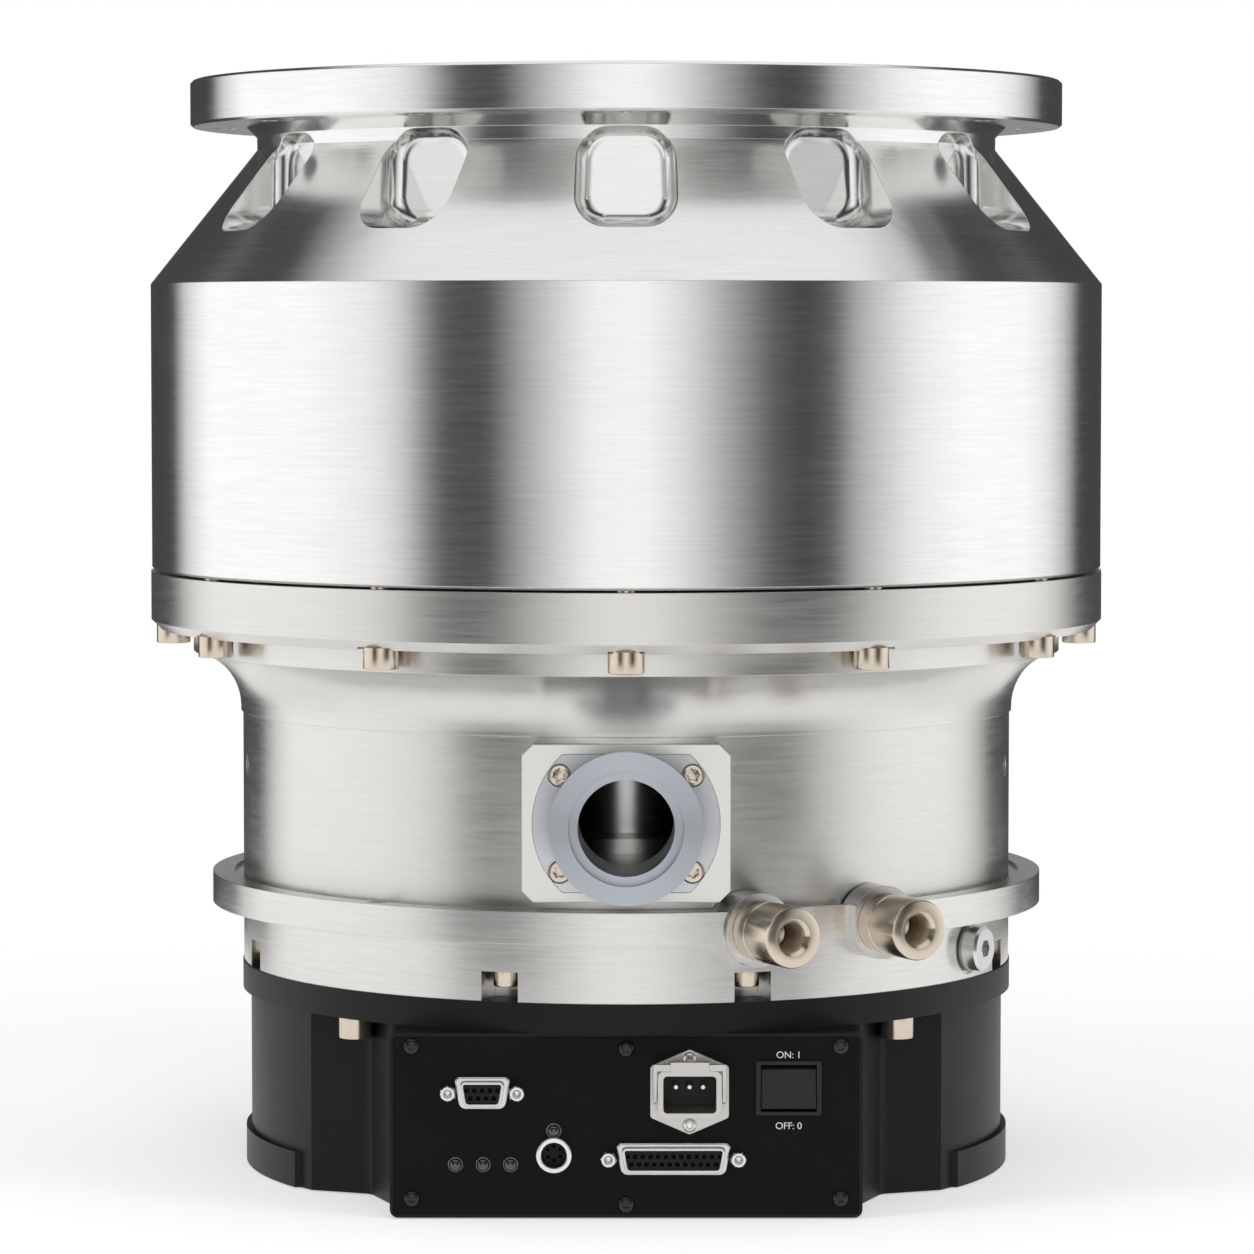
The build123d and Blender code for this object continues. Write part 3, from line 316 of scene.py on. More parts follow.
@dataclass(frozen=True)
class Coated(Finish):
    """Painted, powder-coated or moulded surface with a fine texture."""

    depth: float = 1e-5
    grain: float = 0.08
    edge: float = 0.0004
    scale: float = 2600.0
    cloud_scale: float = 25.0
    specular: float = 0.5
    coat: float = 0.0
    coat_roughness: float = 0.08

    def shade(self, shader: Shader) -> None:
        """Fine pebbled relief, slightly uneven gloss."""
        place = shader.place()
        pebbles = shader.noise(place, self.scale, 2.0, 0.55)
        cloud = shader.noise(place, self.cloud_scale, 2.0)
        self.cover(shader, shader.shade(self.colour, cloud, self.grain), pebbles)
        shader.put(shader.surface, {
            "Specular IOR Level": self.specular, "Coat Weight": self.coat,
            "Coat Roughness": self.coat_roughness})
        shader.relief(pebbles, self.depth, self.edge)


ENVELOPE_STEEL = TurnedMetal(
    "envelope_steel", (0.82, 0.815, 0.805), 0.19, label="casing", anisotropy=0.65, depth=3e-6)
# Pocket faces: milled, with their own roughness, grain and weaker lines; their colour, darker than the
# casing's, is painted shade standing in for the darker reflection inside the pockets.
POCKET_STEEL_PAINTED_SHADE = TurnedMetal(
    "envelope_steel", (0.76, 0.755, 0.745), 0.13, label="milled", edge=0.0006, grain=0.04,
    anisotropy=0.4)
BASE_STEEL = TurnedMetal("base_steel", (0.71, 0.70, 0.675), 0.31, label="base", anisotropy=0.7, depth=2e-6)
FOOT_ALUMINIUM = TurnedMetal("plate_aluminium", (0.70, 0.69, 0.67), 0.25, label="foot", depth=2.5e-6)
NOZZLE_STEEL = TurnedMetal(
    "nozzle_steel", (0.46, 0.49, 0.53), 0.33, label="nozzle", centre=(0, 0, 0.1438), axis=(0, -1, 0),
    streak=3.0, pitch=2200.0, anisotropy=0.9, edge=0.0002, foot_colour=(0.70, 0.715, 0.735),
    foot_height=0.157)
COUPLING_NICKEL = TurnedMetal(
    "nickel", (0.66, 0.58, 0.475), 0.21, streak=2.0, pitch=2600.0, anisotropy=0.6, edge=0.0)
NICKEL = PlainMetal("nickel", (0.66, 0.575, 0.47), 0.2)
BRIGHT_STEEL = PlainMetal("bright_steel", (0.72, 0.72, 0.71), 0.25)
ROTOR_ALUMINIUM = TurnedMetal("rotor_aluminium", (0.70, 0.71, 0.73), 0.32, label="rotor", pitch=700.0)
SHAFT_STEEL = TurnedMetal("shaft_steel", (0.55, 0.55, 0.57), 0.25, label="shaft")
BEARING_STEEL = PlainMetal("bearing_steel", (0.45, 0.46, 0.48), 0.3)
COIL_RESIN = Coated("coil_resin", (0.20, 0.07, 0.03), 0.45)
CONTROLLER_BLACK = Coated("controller_black", (0.008, 0.008, 0.0085), 0.42, specular=0.2)
PANEL_BLACK = Coated("panel_black", (0.0055, 0.0055, 0.006), 0.5, depth=6e-6, specular=0.11)
SCREW_BLACK = Coated("black_screw", (0.006, 0.006, 0.0065), 0.2, depth=1e-6, edge=0.0001)
SOCKET_STEEL = PlainMetal("socket_steel", (0.66, 0.66, 0.67), 0.24)
JACK_STEEL = PlainMetal("jack_steel", (0.80, 0.80, 0.80), 0.24)
INSERT_BLACK = Coated("insert_black", (0.010, 0.010, 0.011), 0.5, depth=4e-6, edge=0.0001, specular=0.2)
LAMP_BLACK = Coated(
    "lamp_black", (0.004, 0.004, 0.005), 0.1, sharp=40.0, depth=0.0, coat=1.0, edge=0.0, specular=0.8)
INLET_GREY = PlainMetal("inlet_grey", (0.64, 0.62, 0.59), 0.4, edge=0.0003)
PIN_PLASTIC = Coated("pin_plastic", (0.012, 0.012, 0.012), 0.5, depth=4e-6)
SWITCH_BLACK = Coated(
    "switch_black", (0.014, 0.014, 0.015), 0.36, sharp=12.0, depth=3e-6, edge=0.0003, specular=0.3)
SEAL_BLACK = Coated("seal_black", (0.010, 0.010, 0.010), 0.6)
WASHER_STEEL = PlainMetal("seal_black", (0.35, 0.35, 0.34), 0.3, label="washer")
BOARD_GREEN = Coated("board_green", (0.03, 0.16, 0.07), 0.4)
PRINT_WHITE = Coated("print_white", (0.80, 0.80, 0.80), 0.5, depth=0.0, edge=0.0)


# ---- Shapes ----
class Section(Enum):
    """Outline of one ring of a piece; the value of a polygon counts its flats."""

    ROUND = 0
    SQUARE = 4
    HEXAGON = 6
    LOBES = "lobes"

    def reach(self, radius: float, angle: float) -> float:
        """Distance of the outline from the axis; a polygon's radius is half its width across flats."""
        if self is Section.ROUND:
            return radius
        if self is Section.LOBES:
            return radius * (1.0 + LOBE_RISE * math.cos(LOBE_COUNT * angle))
        half = math.pi / self.value
        return radius / math.cos((angle + half) % (2 * half) - half)


Ring = tuple[float, float] | tuple[float, float, Section]


def only(kind: type, geom: Iterable[object]) -> list:
    """Elements of one kind out of what an operator returns."""
    return [item for item in geom if isinstance(item, kind)]


def turn_up(rings: list[Ring], steps: int = 48) -> BMesh:
    """Piece built along Z from a circle that is extruded from ring to ring.

    Args:
        rings: radius, height and, unless it is round, outline of each ring; a ring of no radius
            closes the piece there, and a last ring like the first closes a hollow one.
        steps: number of points in each ring.

    Returns:
        The mesh, in millimetres.
    """
    bm = bmesh.new()
    verts = bmesh.ops.create_circle(bm, cap_ends=False, radius=1.0, segments=steps)["verts"]
    loop = list(bm.edges)
    for index, (radius, height, *outline) in enumerate(rings):
        if index:
            made = bmesh.ops.extrude_edge_only(bm, edges=loop)["geom"]
            verts = only(BMVert, made)
            fresh = set(verts)
            loop = [edge for edge in only(BMEdge, made) if set(edge.verts) <= fresh]
        section = outline[0] if outline else Section.ROUND
        for vert in verts:
            angle = math.atan2(vert.co.y, vert.co.x)
            reach = section.reach(max(radius, POLE), angle)
            vert.co = Vector((math.cos(angle) * reach, math.sin(angle) * reach, height))
    bmesh.ops.remove_doubles(bm, verts=bm.verts, dist=POLE * 3)
    return bm


def round_off(bm: BMesh, geom: list, radius: float, segments: int, affect: str = "EDGES",
              clamp: bool = False) -> None:
    """Round edges or corners of a mesh."""
    bmesh.ops.bevel(bm, geom=geom, offset=radius, offset_type="OFFSET", segments=segments, profile=0.5,
                    affect=affect, material=-1, clamp_overlap=clamp)


def sharp_edges(bm: BMesh, height: float) -> list:
    """Edges at a height between faces that meet at a wide angle."""
    return [edge for edge in bm.edges if all(abs(vert.co.z - height) < LEVEL for vert in edge.verts)
            and edge.calc_face_angle(0.0) > 1.0]


def trapezium(lower: float, upper: float, height: float, corner: float, segments: int) -> BMesh:
    """Flat face about the origin, wide as stated below and above, its corners rounded in steps."""
    bm = bmesh.new()
    face = bm.faces.new([bm.verts.new((x / 2, y / 2, 0.0)) for x, y in (
        (-lower, -height), (lower, -height), (upper, height), (-upper, height))])
    face.normal_update()
    round_off(bm, list(bm.verts), corner, segments, "VERTICES")
    return bm


def raise_up(bm: BMesh, bottom: float, top: float, edge: float = 0.0, segments: int = 3) -> BMesh:
    """Make a solid of a flat face and round its upper edge.

    Args:
        bm: mesh of flat faces on Z = 0.
        bottom: height of the underside.
        top: height of the upper side.
        edge: radius of the rounding.
        segments: steps in the rounding.

    Returns:
        The same mesh.
    """
    bmesh.ops.translate(bm, vec=(0, 0, bottom), verts=bm.verts)
    made = bmesh.ops.extrude_face_region(bm, geom=list(bm.faces), use_keep_orig=True)["geom"]
    bmesh.ops.translate(bm, vec=(0, 0, top - bottom), verts=only(BMVert, made))
    bmesh.ops.recalc_face_normals(bm, faces=bm.faces)
    if edge:
        round_off(bm, sharp_edges(bm, top), edge, segments)
    return bm


def gather(parts: Iterable[BMesh]) -> BMesh:
    """Join several meshes in one, and free them."""
    whole = bmesh.new()
    for part in parts:
        step = bpy.data.meshes.new("step")
        part.to_mesh(step)
        part.free()
        whole.from_mesh(step)
        bpy.data.meshes.remove(step)
    return whole


def moved(bm: BMesh, matrix: Matrix) -> BMesh:
    """Apply a placement to a mesh and return it."""
    bmesh.ops.transform(bm, matrix=matrix, verts=bm.verts)
    return bm


def copies(bm: BMesh, places: Iterable[Matrix]) -> BMesh:
    """One mesh with a copy of another at each place; the pattern is freed."""
    whole = gather(moved(bm.copy(), place) for place in places)
    bm.free()
    return whole


def node_mesh(node: str) -> BMesh:
    """Copy of a frame node's mesh, in metres, its doubled vertices joined."""
    bm = bmesh.new()
    bm.from_mesh(FRAME["nodes"][node].data)
    bmesh.ops.remove_doubles(bm, verts=bm.verts, dist=DOUBLED)
    return bm


def link(name: str, data: bpy.types.ID) -> Object:
    """New object in the scene."""
    made = bpy.data.objects.new(name, data)
    bpy.context.scene.collection.objects.link(made)
    return made


def make_piece(name: str, bm: BMesh, finish: Finish) -> Object:
    """Object at the origin from a mesh in millimetres.

    Args:
        name: the object's name.
        bm: the mesh; it is freed.
        finish: its finish.

    Returns:
        The new object.
    """
    bmesh.ops.remove_doubles(bm, verts=bm.verts, dist=POLE)
    bmesh.ops.recalc_face_normals(bm, faces=bm.faces)
    moved(bm, TO_METRES)
    mesh = bpy.data.meshes.new(name)
    bm.to_mesh(mesh)
    bm.free()
    mesh.shade_smooth()
    mesh.set_sharp_from_angle(angle=math.radians(finish.sharp))
    mesh.materials.append(finish.material())
    LOG.info("%s: %d faces", name, len(mesh.polygons))
    return link(name, mesh)


def cut_out(body: Object, cutter: BMesh, finish: Finish | None = None) -> None:
    """Cut a shape out of a piece for good.

    Args:
        body: the piece.
        cutter: closed mesh in millimetres; it is freed.
        finish: finish of the cut faces, or None for the piece's own.
    """
    old = body.data
    own = old.materials[0]
    tool = make_piece(f"{body.name}_cutter", cutter, finish or INSERT_BLACK)
    change = body.modifiers.new("cut", "BOOLEAN")
    change.operation = "DIFFERENCE"
    change.solver = "EXACT"
    change.object = tool
    change.material_mode = "TRANSFER" if finish else "INDEX"
    graph = bpy.context.evaluated_depsgraph_get()
    body.data = bpy.data.meshes.new_from_object(body.evaluated_get(graph))
    body.modifiers.clear()
    bpy.data.meshes.remove(old)
    bpy.data.objects.remove(tool)
    if not finish:
        body.data.materials.clear()
        body.data.materials.append(own)
    body.data.set_sharp_from_angle(angle=math.radians(SHARP))


def true_normals(mesh: bpy.types.Mesh, limit: float = 28.0, lean: float = 0.9993,
                 off: float = 3e-5) -> None:
    """Give each corner the normal of the real surface: round about Z where it is turned, else flat.

    Args:
        mesh: mesh in metres, about the pump's axis.
        limit: faces that meet at less than this angle, in degrees, blend, the larger one leading.
        lean: a turned face's normal has at least this share in its plane through the axis.
        off: a turned face's corners lie no further than this from one cone, in metres.
    """
    around: list[list[int]] = [[] for _ in mesh.vertices]
    turned: list[Point | None] = []
    for face in mesh.polygons:
        for vertex in face.vertices:
            around[vertex].append(face.index)
        centre, normal = face.center, face.normal
        out = (normal.x * centre.x + normal.y * centre.y) / max(math.hypot(centre.x, centre.y), LEAST)
        length = math.hypot(out, normal.z)
        slope = (out / max(length, LEAST), normal.z / max(length, LEAST))
        levels = [math.hypot(v.x, v.y) * slope[0] + v.z * slope[1]
                  for v in (mesh.vertices[i].co for i in face.vertices)]
        turned.append(slope if length > lean and max(levels) - min(levels) < off else None)

    def normal_at(face: int, place: Vector) -> Vector:
        """Normal of one face's real surface at a place."""
        slope = turned[face]
        if slope is None:
            return mesh.polygons[face].normal
        share = slope[0] / max(math.hypot(place.x, place.y), LEAST)
        return Vector((share * place.x, share * place.y, slope[1]))

    least = math.cos(math.radians(limit))
    normals = []
    for face in mesh.polygons:
        for vertex in face.vertices:
            place = mesh.vertices[vertex].co
            own = normal_at(face.index, place)
            total = Vector((0, 0, 0))
            for other in around[vertex]:
                there = normal_at(other, place)
                if there.dot(own) > least:
                    total += there * mesh.polygons[other].area ** 1.5
            normals.append(total.normalized() if total.length > 1e-20 else own)
    mesh.normals_split_custom_set(normals)


class SubAssembly:
    """What all sub-assemblies share: dressing nodes and adding pieces to a body."""

    body = "pump"

    def dress(self, finish: Finish, *nodes: str) -> None:
        """Give frame nodes a finish."""
        for node in nodes:
            slots = FRAME["nodes"][node].data.materials
            slots.clear()
            slots.append(finish.material())

    def add(self, name: str, bm: BMesh, finish: Finish, *nodes: str, body: str | None = None) -> Object:
        """Make a piece that rides on a body and stands for the nodes that it replaces.

        Args:
            name: the piece's name.
            bm: its mesh in millimetres; it is freed.
            finish: its finish, which names its slot.
            nodes: frame nodes that it replaces.
            body: the body, or None for the sub-assembly's own.

        Returns:
            The new object.
        """
        piece = make_piece(name, bm, finish)
        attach(piece, body or self.body)
        if nodes:
            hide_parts(*nodes)
        return piece

    def build(self) -> None:
        """Make the pieces and dress the nodes."""
        raise NotImplementedError


@dataclass(frozen=True)
class CapScrew:
    """Screw along Z: underside of the head at 0, head above, shank below."""

    head_radius: float
    head_height: float
    shank_radius: float
    shank_length: float
    drive_radius: float
    drive_depth: float
    drive: Section = Section.HEXAGON
    domed: bool = False
    edge: float = 0.6
    tip: float = 0.5
    under: float = 0.15

    def build(self) -> BMesh:
        """Head, recess and shank as one closed piece."""
        head, top, cut = self.head_radius, self.head_height, self.edge
        shank, tip, drive = self.shank_radius, self.tip, self.drive_radius
        rim, floor = drive * RECESS_RIM, top - self.drive_depth
        rings = [(0, -self.shank_length), (shank - tip, -self.shank_length),
                 (shank, tip - self.shank_length), (shank, 0), (head - self.under, 0)]
        if self.domed:
            rings += [(head * wide, top * high) for wide, high in DOME] + [(rim + 0.1, top)]
        else:
            rings += [(head, self.under), (head, top - cut), (head - cut * 0.3, top - cut * 0.3),
                      (head - cut, top), (rim + 0.15, top)]
        return turn_up(rings + [
            (drive, top - 0.2, self.drive), (drive, floor, self.drive), (drive * 0.8, floor),
            (0, top - self.drive_depth * 1.18)])


# ---- Casing and base ----
@dataclass
class Casing(SubAssembly):
    """Envelope with its inlet flange, and the screws that hold it to the base."""

    pockets: int = 12
    pocket_floor: float = 137.5
    pocket_size: Triple = (38.0, 35.0, 37.0)
    pocket_centre: float = 375.5
    pocket_corner: float = 12.0
    fillet: float = 6.5
    cutter_length: float = 40.0
    screws: int = 12
    screw_circle: float = 175.6
    screw_seat: float = 207.4
    screw: CapScrew = CapScrew(6.5, 8.0, 4.0, 37.0, 3.0, 4.0)

    def pocket(self) -> BMesh:
        """Cutter of one pocket, its floor up and rounded all round."""
        bm = trapezium(*self.pocket_size, self.pocket_corner, 8)
        return raise_up(bm, -self.pocket_floor - self.cutter_length, -self.pocket_floor, self.fillet, 7)

    def shell(self) -> None:
        """The envelope, with its pockets milled to a ball end's radius."""
        bm = node_mesh("envelope")
        bmesh.ops.dissolve_limit(bm, angle_limit=math.radians(FLAT), use_dissolve_boundaries=False,
                                 verts=bm.verts, edges=bm.edges, delimit=set())
        shell = self.add("casing_shell", moved(bm, TO_MILLIMETRES), ENVELOPE_STEEL, "envelope")
        inward = (Matrix.Translation((0, 0, self.pocket_centre))
                  @ Matrix(((-1, 0, 0, 0), (0, 0, 1, 0), (0, 1, 0, 0), (0, 0, 0, 1))))
        cutter = copies(self.pocket(), [at_angle(angle) @ inward for angle in even_angles(self.pockets)])
        # The pockets' faces get the darker colour, which is painted shade.
        cut_out(shell, cutter, POCKET_STEEL_PAINTED_SHADE)
        true_normals(shell.data)

    def build(self) -> None:
        """Shell, seal and the ring of screws."""
        self.shell()
        self.dress(SEAL_BLACK, "envelope_seal")
        places = hanging(even_angles(self.screws), self.screw_circle, self.screw_seat)
        self.add("casing_screws", copies(self.screw.build(), places), NICKEL, "envelope_screws")


@dataclass
class Base(SubAssembly):
    """Pump base with its neck and flare."""

    def build(self) -> None:
        """Dress the base."""
        self.dress(BASE_STEEL, "pump_base")
        self.dress(SEAL_BLACK, "exhaust_seal")
        self.dress(FOOT_ALUMINIUM, "bearing_column", "drag_stator")


@dataclass
class Exhaust(SubAssembly):
    """Clamp-flange nozzle and its four screws."""

    height: float = 143.8
    screw_x: float = 23.9
    screw_z: float = 17.4
    seat: float = 148.5
    screw: CapScrew = CapScrew(3.8, 3.4, 2.5, 11.0, 1.75, 2.0, Section.LOBES, edge=0.4)
    twist: Point = (17.0, 40.0)

    def build(self) -> None:
        """Dress the nozzle and make its screws."""
        self.dress(NOZZLE_STEEL, "exhaust_nozzle")
        places = [outward(self.seat, side * self.screw_x, self.height + level * self.screw_z)
                  @ at_angle(self.twist[0] * side + self.twist[1] * level)
                  for side in (-1, 1) for level in (-1, 1)]
        self.add("nozzle_screws", copies(self.screw.build(), places), NICKEL, "exhaust_screws")


@dataclass
class Foot(SubAssembly):
    """Cooling plate with its screws, water couplings and purge port."""

    water_angle: float = 26.6
    water_spacing: float = 51.3
    water_height: float = 105.5
    shoulder: float = 158.4
    length: float = 25.5
    radius: float = 11.0
    bore: float = 5.4
    bore_depth: float = 17.0
    inner_bore: float = 3.4
    spigot: float = 7.5
    spigot_depth: float = 9.0
    groove: float = 7.6
    thread_pitch: float = 1.5
    thread_depth: float = 0.42
    thread_start: float = 1.8
    thread_end: float = 2.5
    screw_circle: float = 140.0
    screw_seat: float = 88.9
    notch_angle: float = 18.0
    screw: CapScrew = CapScrew(5.0, 6.0, 3.0, 33.0, 2.5, 3.0, edge=0.5)

    def coupling(self) -> BMesh:
        """Coupling with a chamfered mouth, a threaded bore and a stepped floor."""
        face, bore, radius, groove = self.length, self.bore, self.radius, self.groove
        pitch, root, floor = self.thread_pitch, self.bore + self.thread_depth, self.length - self.bore_depth
        rings = [(self.inner_bore, -self.spigot_depth), (self.spigot, -self.spigot_depth),
                 (self.spigot, 0), (radius - 0.3, 0), (radius, 0.3),
                 (radius, groove), (radius - 0.25, groove + 0.2), (radius - 0.25, groove + 0.7),
                 (radius, groove + 0.9), (radius, face - 0.9), (radius - 0.3, face - 0.3),
                 (radius - 0.9, face), (bore + 1.3, face), (bore + 1.0, face - 0.25), (bore, face - 1.4)]
        z = face - self.thread_start
        while z > floor + self.thread_end:
            rings += [(bore, z), (root, z - pitch * 0.38), (root, z - pitch * 0.5), (bore, z - pitch * 0.88)]
            z -= pitch
        rings += [(bore, floor), (self.inner_bore, floor - 1.2), (self.inner_bore, -self.spigot_depth)]
        return turn_up(rings, 64)

    def build(self) -> None:
        """Couplings, screws and the dressed plate."""
        self.dress(FOOT_ALUMINIUM, "cooling_plate")
        for side, name in ((-1, "left"), (1, "right")):
            place = at_angle(self.water_angle) @ outward(
                self.shoulder, side * self.water_spacing / 2, self.water_height)
            finish = replace(COUPLING_NICKEL, centre=tuple((TO_METRES @ place).translation),
                             axis=tuple(place.col[2].xyz), label=f"coupling_{name}")
            self.add(f"water_fitting_{name}", moved(self.coupling(), place), finish, f"water_coupling_{name}")
        angles = [90.0 * k + side * self.notch_angle for k in range(4) for side in (-1, 1)]
        places = hanging(angles, self.screw_circle, self.screw_seat)
        self.add("foot_screws", copies(self.screw.build(), places), NICKEL, "cooling_plate_screws")
        self.dress(BRIGHT_STEEL, "purge_plug")
        self.dress(WASHER_STEEL, "purge_washer")


@dataclass
class Rotor(SubAssembly):
    """Bladed rotor, its shaft and the parts round it."""

    body = "rotor"
    clamp_circle: float = 22.0
    clamp_seat: float = 317.0
    clamp_screw: CapScrew = CapScrew(5.0, 6.0, 3.0, 14.0, 2.5, 3.0, edge=0.5)

    def build(self) -> None:
        """Dress the rotor and the hidden parts."""
        self.dress(ROTOR_ALUMINIUM, "turbine_rotor")
        self.dress(SHAFT_STEEL, "rotor_shaft", "thrust_disc")
        seat = Matrix.Translation((0, -self.clamp_circle, self.clamp_seat))
        places = [at_angle(angle) @ seat for angle in even_angles(6)]
        self.add("rotor_screws", copies(self.clamp_screw.build(), places), BRIGHT_STEEL, "rotor_clamp_screws")
        self.dress(ROTOR_ALUMINIUM, "stator_stage_upper", "stator_stage_lower")
        self.dress(COIL_RESIN, "radial_bearing_upper", "radial_bearing_lower", "motor_stator")
        self.dress(BEARING_STEEL, "axial_bearing", "touchdown_bearing_upper", "touchdown_bearing_lower")


# ---- Controller ----
@dataclass
class Controller(SubAssembly):
    """Black housing with its screws, bottom cover and board."""

    screw_circle: float = 141.2
    screw_seat: float = 67.2
    first_screw: float = 45.0
    screw: CapScrew = CapScrew(6.5, 8.0, 4.0, 24.0, 3.0, 4.0)

    def build(self) -> None:
        """Dress the housing and make its screws."""
        self.dress(CONTROLLER_BLACK, "controller_housing", "bottom_cover")
        self.dress(SCREW_BLACK, "bottom_cover_screws")
        self.dress(BOARD_GREEN, "control_board")
        places = hanging(even_angles(4, self.first_screw), self.screw_circle, self.screw_seat)
        self.add("housing_screws", copies(self.screw.build(), places), NICKEL, "controller_screws")


@dataclass
class Panel(SubAssembly):
    """Control panel, its six screws and the marks beside the switch."""

    places: tuple[Point, ...] = (
        (-77.5, 62.4), (0.0, 61.5), (77.5, 62.4), (-77.5, 7.0), (0.0, 4.9), (77.5, 7.0))
    screw: CapScrew = CapScrew(3.0, 1.7, 1.5, 8.0, 1.0, 1.0, domed=True)
    marks: tuple[tuple[str, float, float], ...] = (("ON: 1", 58.7, 59.2), ("OFF: 0", 58.7, 33.4))
    mark_size: float = 3.5
    mark_depth: float = 0.02

    def mark(self, text: str, x: float, z: float) -> Object:
        """Printed mark as a thin mesh on the panel.

        Args:
            text: the mark.
            x: its centre across the front.
            z: its centre over the underside.

        Returns:
            The new object.
        """
        curve = bpy.data.curves.new(text, "FONT")
        curve.body = text
        curve.size = self.mark_size
        curve.align_x = curve.align_y = "CENTER"
        curve.extrude = self.mark_depth
        holder = link(text, curve)
        graph = bpy.context.evaluated_depsgraph_get()
        flat = bpy.data.meshes.new_from_object(holder.evaluated_get(graph))
        bm = bmesh.new()
        bm.from_mesh(flat)
        bpy.data.objects.remove(holder)
        bpy.data.meshes.remove(flat)
        name = "mark_" + "".join(c for c in text.lower() if c.isalnum())
        return make_piece(name, moved(bm, outward(PANEL_FACE + self.mark_depth, x, z)), PRINT_WHITE)

    def build(self) -> None:
        """Plate, screws and marks."""
        self.dress(PANEL_BLACK, "control_panel")
        screws = copies(self.screw.build(), map(on_panel, self.places))
        self.add("panel_button_screws", screws, SCREW_BLACK, "panel_screws")
        for text, x, z in self.marks:
            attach(self.mark(text, x, z), self.body)


@dataclass
class DSocket(SubAssembly):
    """D-shaped socket: metal flange with a raised shell, a black insert and rows of contact holes."""

    name: str
    place: Point
    width: float
    insert_width: float
    rows: tuple[int, int]
    height: float = 11.9
    insert_height: float = 7.0
    slant: float = 10.0
    flange: float = 2.4
    stand: float = 5.8
    rim: float = 1.1
    corners: Triple = (2.3, 2.1, 1.4)
    edges: Triple = (0.9, 0.35, 0.25)
    cavity_floor: float = 2.45
    pitch: float = 2.77
    row_gap: float = 2.84
    hole: float = 0.8
    hole_floor: float = 2.6
    hole_top: float = 7.0

    def outline(self, width: float, height: float, corner: float, segments: int) -> BMesh:
        """Rounded trapezium with its wide side up."""
        narrowing = 2 * height * math.tan(math.radians(self.slant))
        return trapezium(width - narrowing, width, height, corner, segments)

    def shell(self) -> BMesh:
        """Flange with rounded edges and the shell that stands on it, open for the insert."""
        grow = 2 * self.rim
        flange = self.outline(self.width, self.height, self.corners[0], 6)
        raise_up(flange, 0.0, self.flange, self.edges[0], 4)
        outer = self.outline(self.insert_width + grow, self.insert_height + grow, self.corners[1], 6)
        raise_up(outer, self.flange - 0.5, self.stand)
        lid = [face for face in outer.faces if face.normal.z > 0.9]
        bmesh.ops.inset_region(outer, faces=lid, thickness=self.rim, use_even_offset=True)
        lid = [face for face in outer.faces if face.normal.z > 0.9 and len(face.verts) > 4]
        sunk = bmesh.ops.extrude_face_region(outer, geom=lid)["geom"]
        bmesh.ops.translate(outer, vec=(0, 0, self.cavity_floor - self.stand), verts=only(BMVert, sunk))
        bmesh.ops.delete(outer, geom=lid, context="FACES_ONLY")
        round_off(outer, sharp_edges(outer, self.stand), self.edges[1], 3, clamp=True)
        return gather((flange, outer))

    def holes(self) -> BMesh:
        """Cutters of the contact holes, two staggered rows."""
        low, high, half = self.hole_floor, self.hole_top, self.hole
        hole = turn_up([(0, low), (half, low, Section.SQUARE), (half, high, Section.SQUARE), (0, high)], 8)
        return copies(hole, [
            Matrix.Translation(((k - (count - 1) / 2) * self.pitch, side * self.row_gap / 2, 0))
            for count, side in zip(self.rows, (1, -1)) for k in range(count)])

    def build(self) -> None:
        """Shell and insert."""
        place = on_panel(self.place)
        node = f"{self.name}_shell"
        self.add(f"{node}_detail", moved(self.shell(), place), SOCKET_STEEL, node)
        block = self.outline(self.insert_width - 0.1, self.insert_height - 0.1, self.corners[2], 5)
        raise_up(block, 0.5, self.stand - 0.6, self.edges[2], 2)
        node = f"{self.name}_insert"
        insert = self.add(f"{node}_detail", moved(block, place), INSERT_BLACK, node)
        cut_out(insert, moved(self.holes(), place))


@dataclass
class Jackscrews(SubAssembly):
    """Four hexagonal jackscrews beside the D-shaped sockets."""

    places: tuple[Point, ...] = ((-64.4, 45.7), (-39.4, 45.7), (-6.42, 21.7), (40.62, 21.7))
    half_width: float = 2.75
    height: float = 5.0
    thread: float = 1.3
    twist: float = 11.0

    def stud(self) -> BMesh:
        """Hexagon with a chamfered end and a threaded hole."""
        flat, top, bore = self.half_width, self.height, self.thread
        thread = [(bore + 0.15 * (k % 2), top - 0.5 - 0.3 * k) for k in range(5)]
        return turn_up([
            (0, 0), (flat, 0, Section.HEXAGON), (flat, top - 0.9, Section.HEXAGON), (flat * 0.98, top - 0.35),
            (flat * 0.86, top), (bore + 0.45, top), *thread, (bore, top - 3.2), (0, top - 3.8)])

    def build(self) -> None:
        """The four studs as one piece."""
        places = [on_panel(place) @ at_angle(self.twist * k) for k, place in enumerate(self.places)]
        self.add("jack_studs", copies(self.stud(), places), JACK_STEEL, "socket_jackscrews")


@dataclass
class StatusLamps(SubAssembly):
    """Three smoked lamps with domed lenses."""

    places: tuple[Point, ...] = ((-61.7, 19.4), (-51.7, 19.4), (-41.8, 19.4))
    radius: float = 2.85
    lens: float = 2.35
    lens_rise: float = 1.9
    bezel: float = 0.65
    dome_steps: int = 7

    def lamp(self) -> BMesh:
        """Bezel and dome."""
        radius, bezel = self.radius, self.bezel
        rings = [(0, -1.0), (radius - 0.6, -1.0), (radius - 0.2, 0), (radius, 0.1), (radius, bezel - 0.2),
                 (radius - 0.2, bezel), (self.lens + 0.05, bezel)]
        for k in range(self.dome_steps):
            lift = math.radians(k * 90 / self.dome_steps)
            rings.append((self.lens * math.cos(lift), bezel + self.lens_rise * math.sin(lift)))
        return turn_up(rings + [(0, bezel + self.lens_rise)], 40)

    def build(self) -> None:
        """The three lamps as one piece."""
        lamps = copies(self.lamp(), map(on_panel, self.places))
        self.add("lamp_domes", lamps, LAMP_BLACK, "status_lamps")


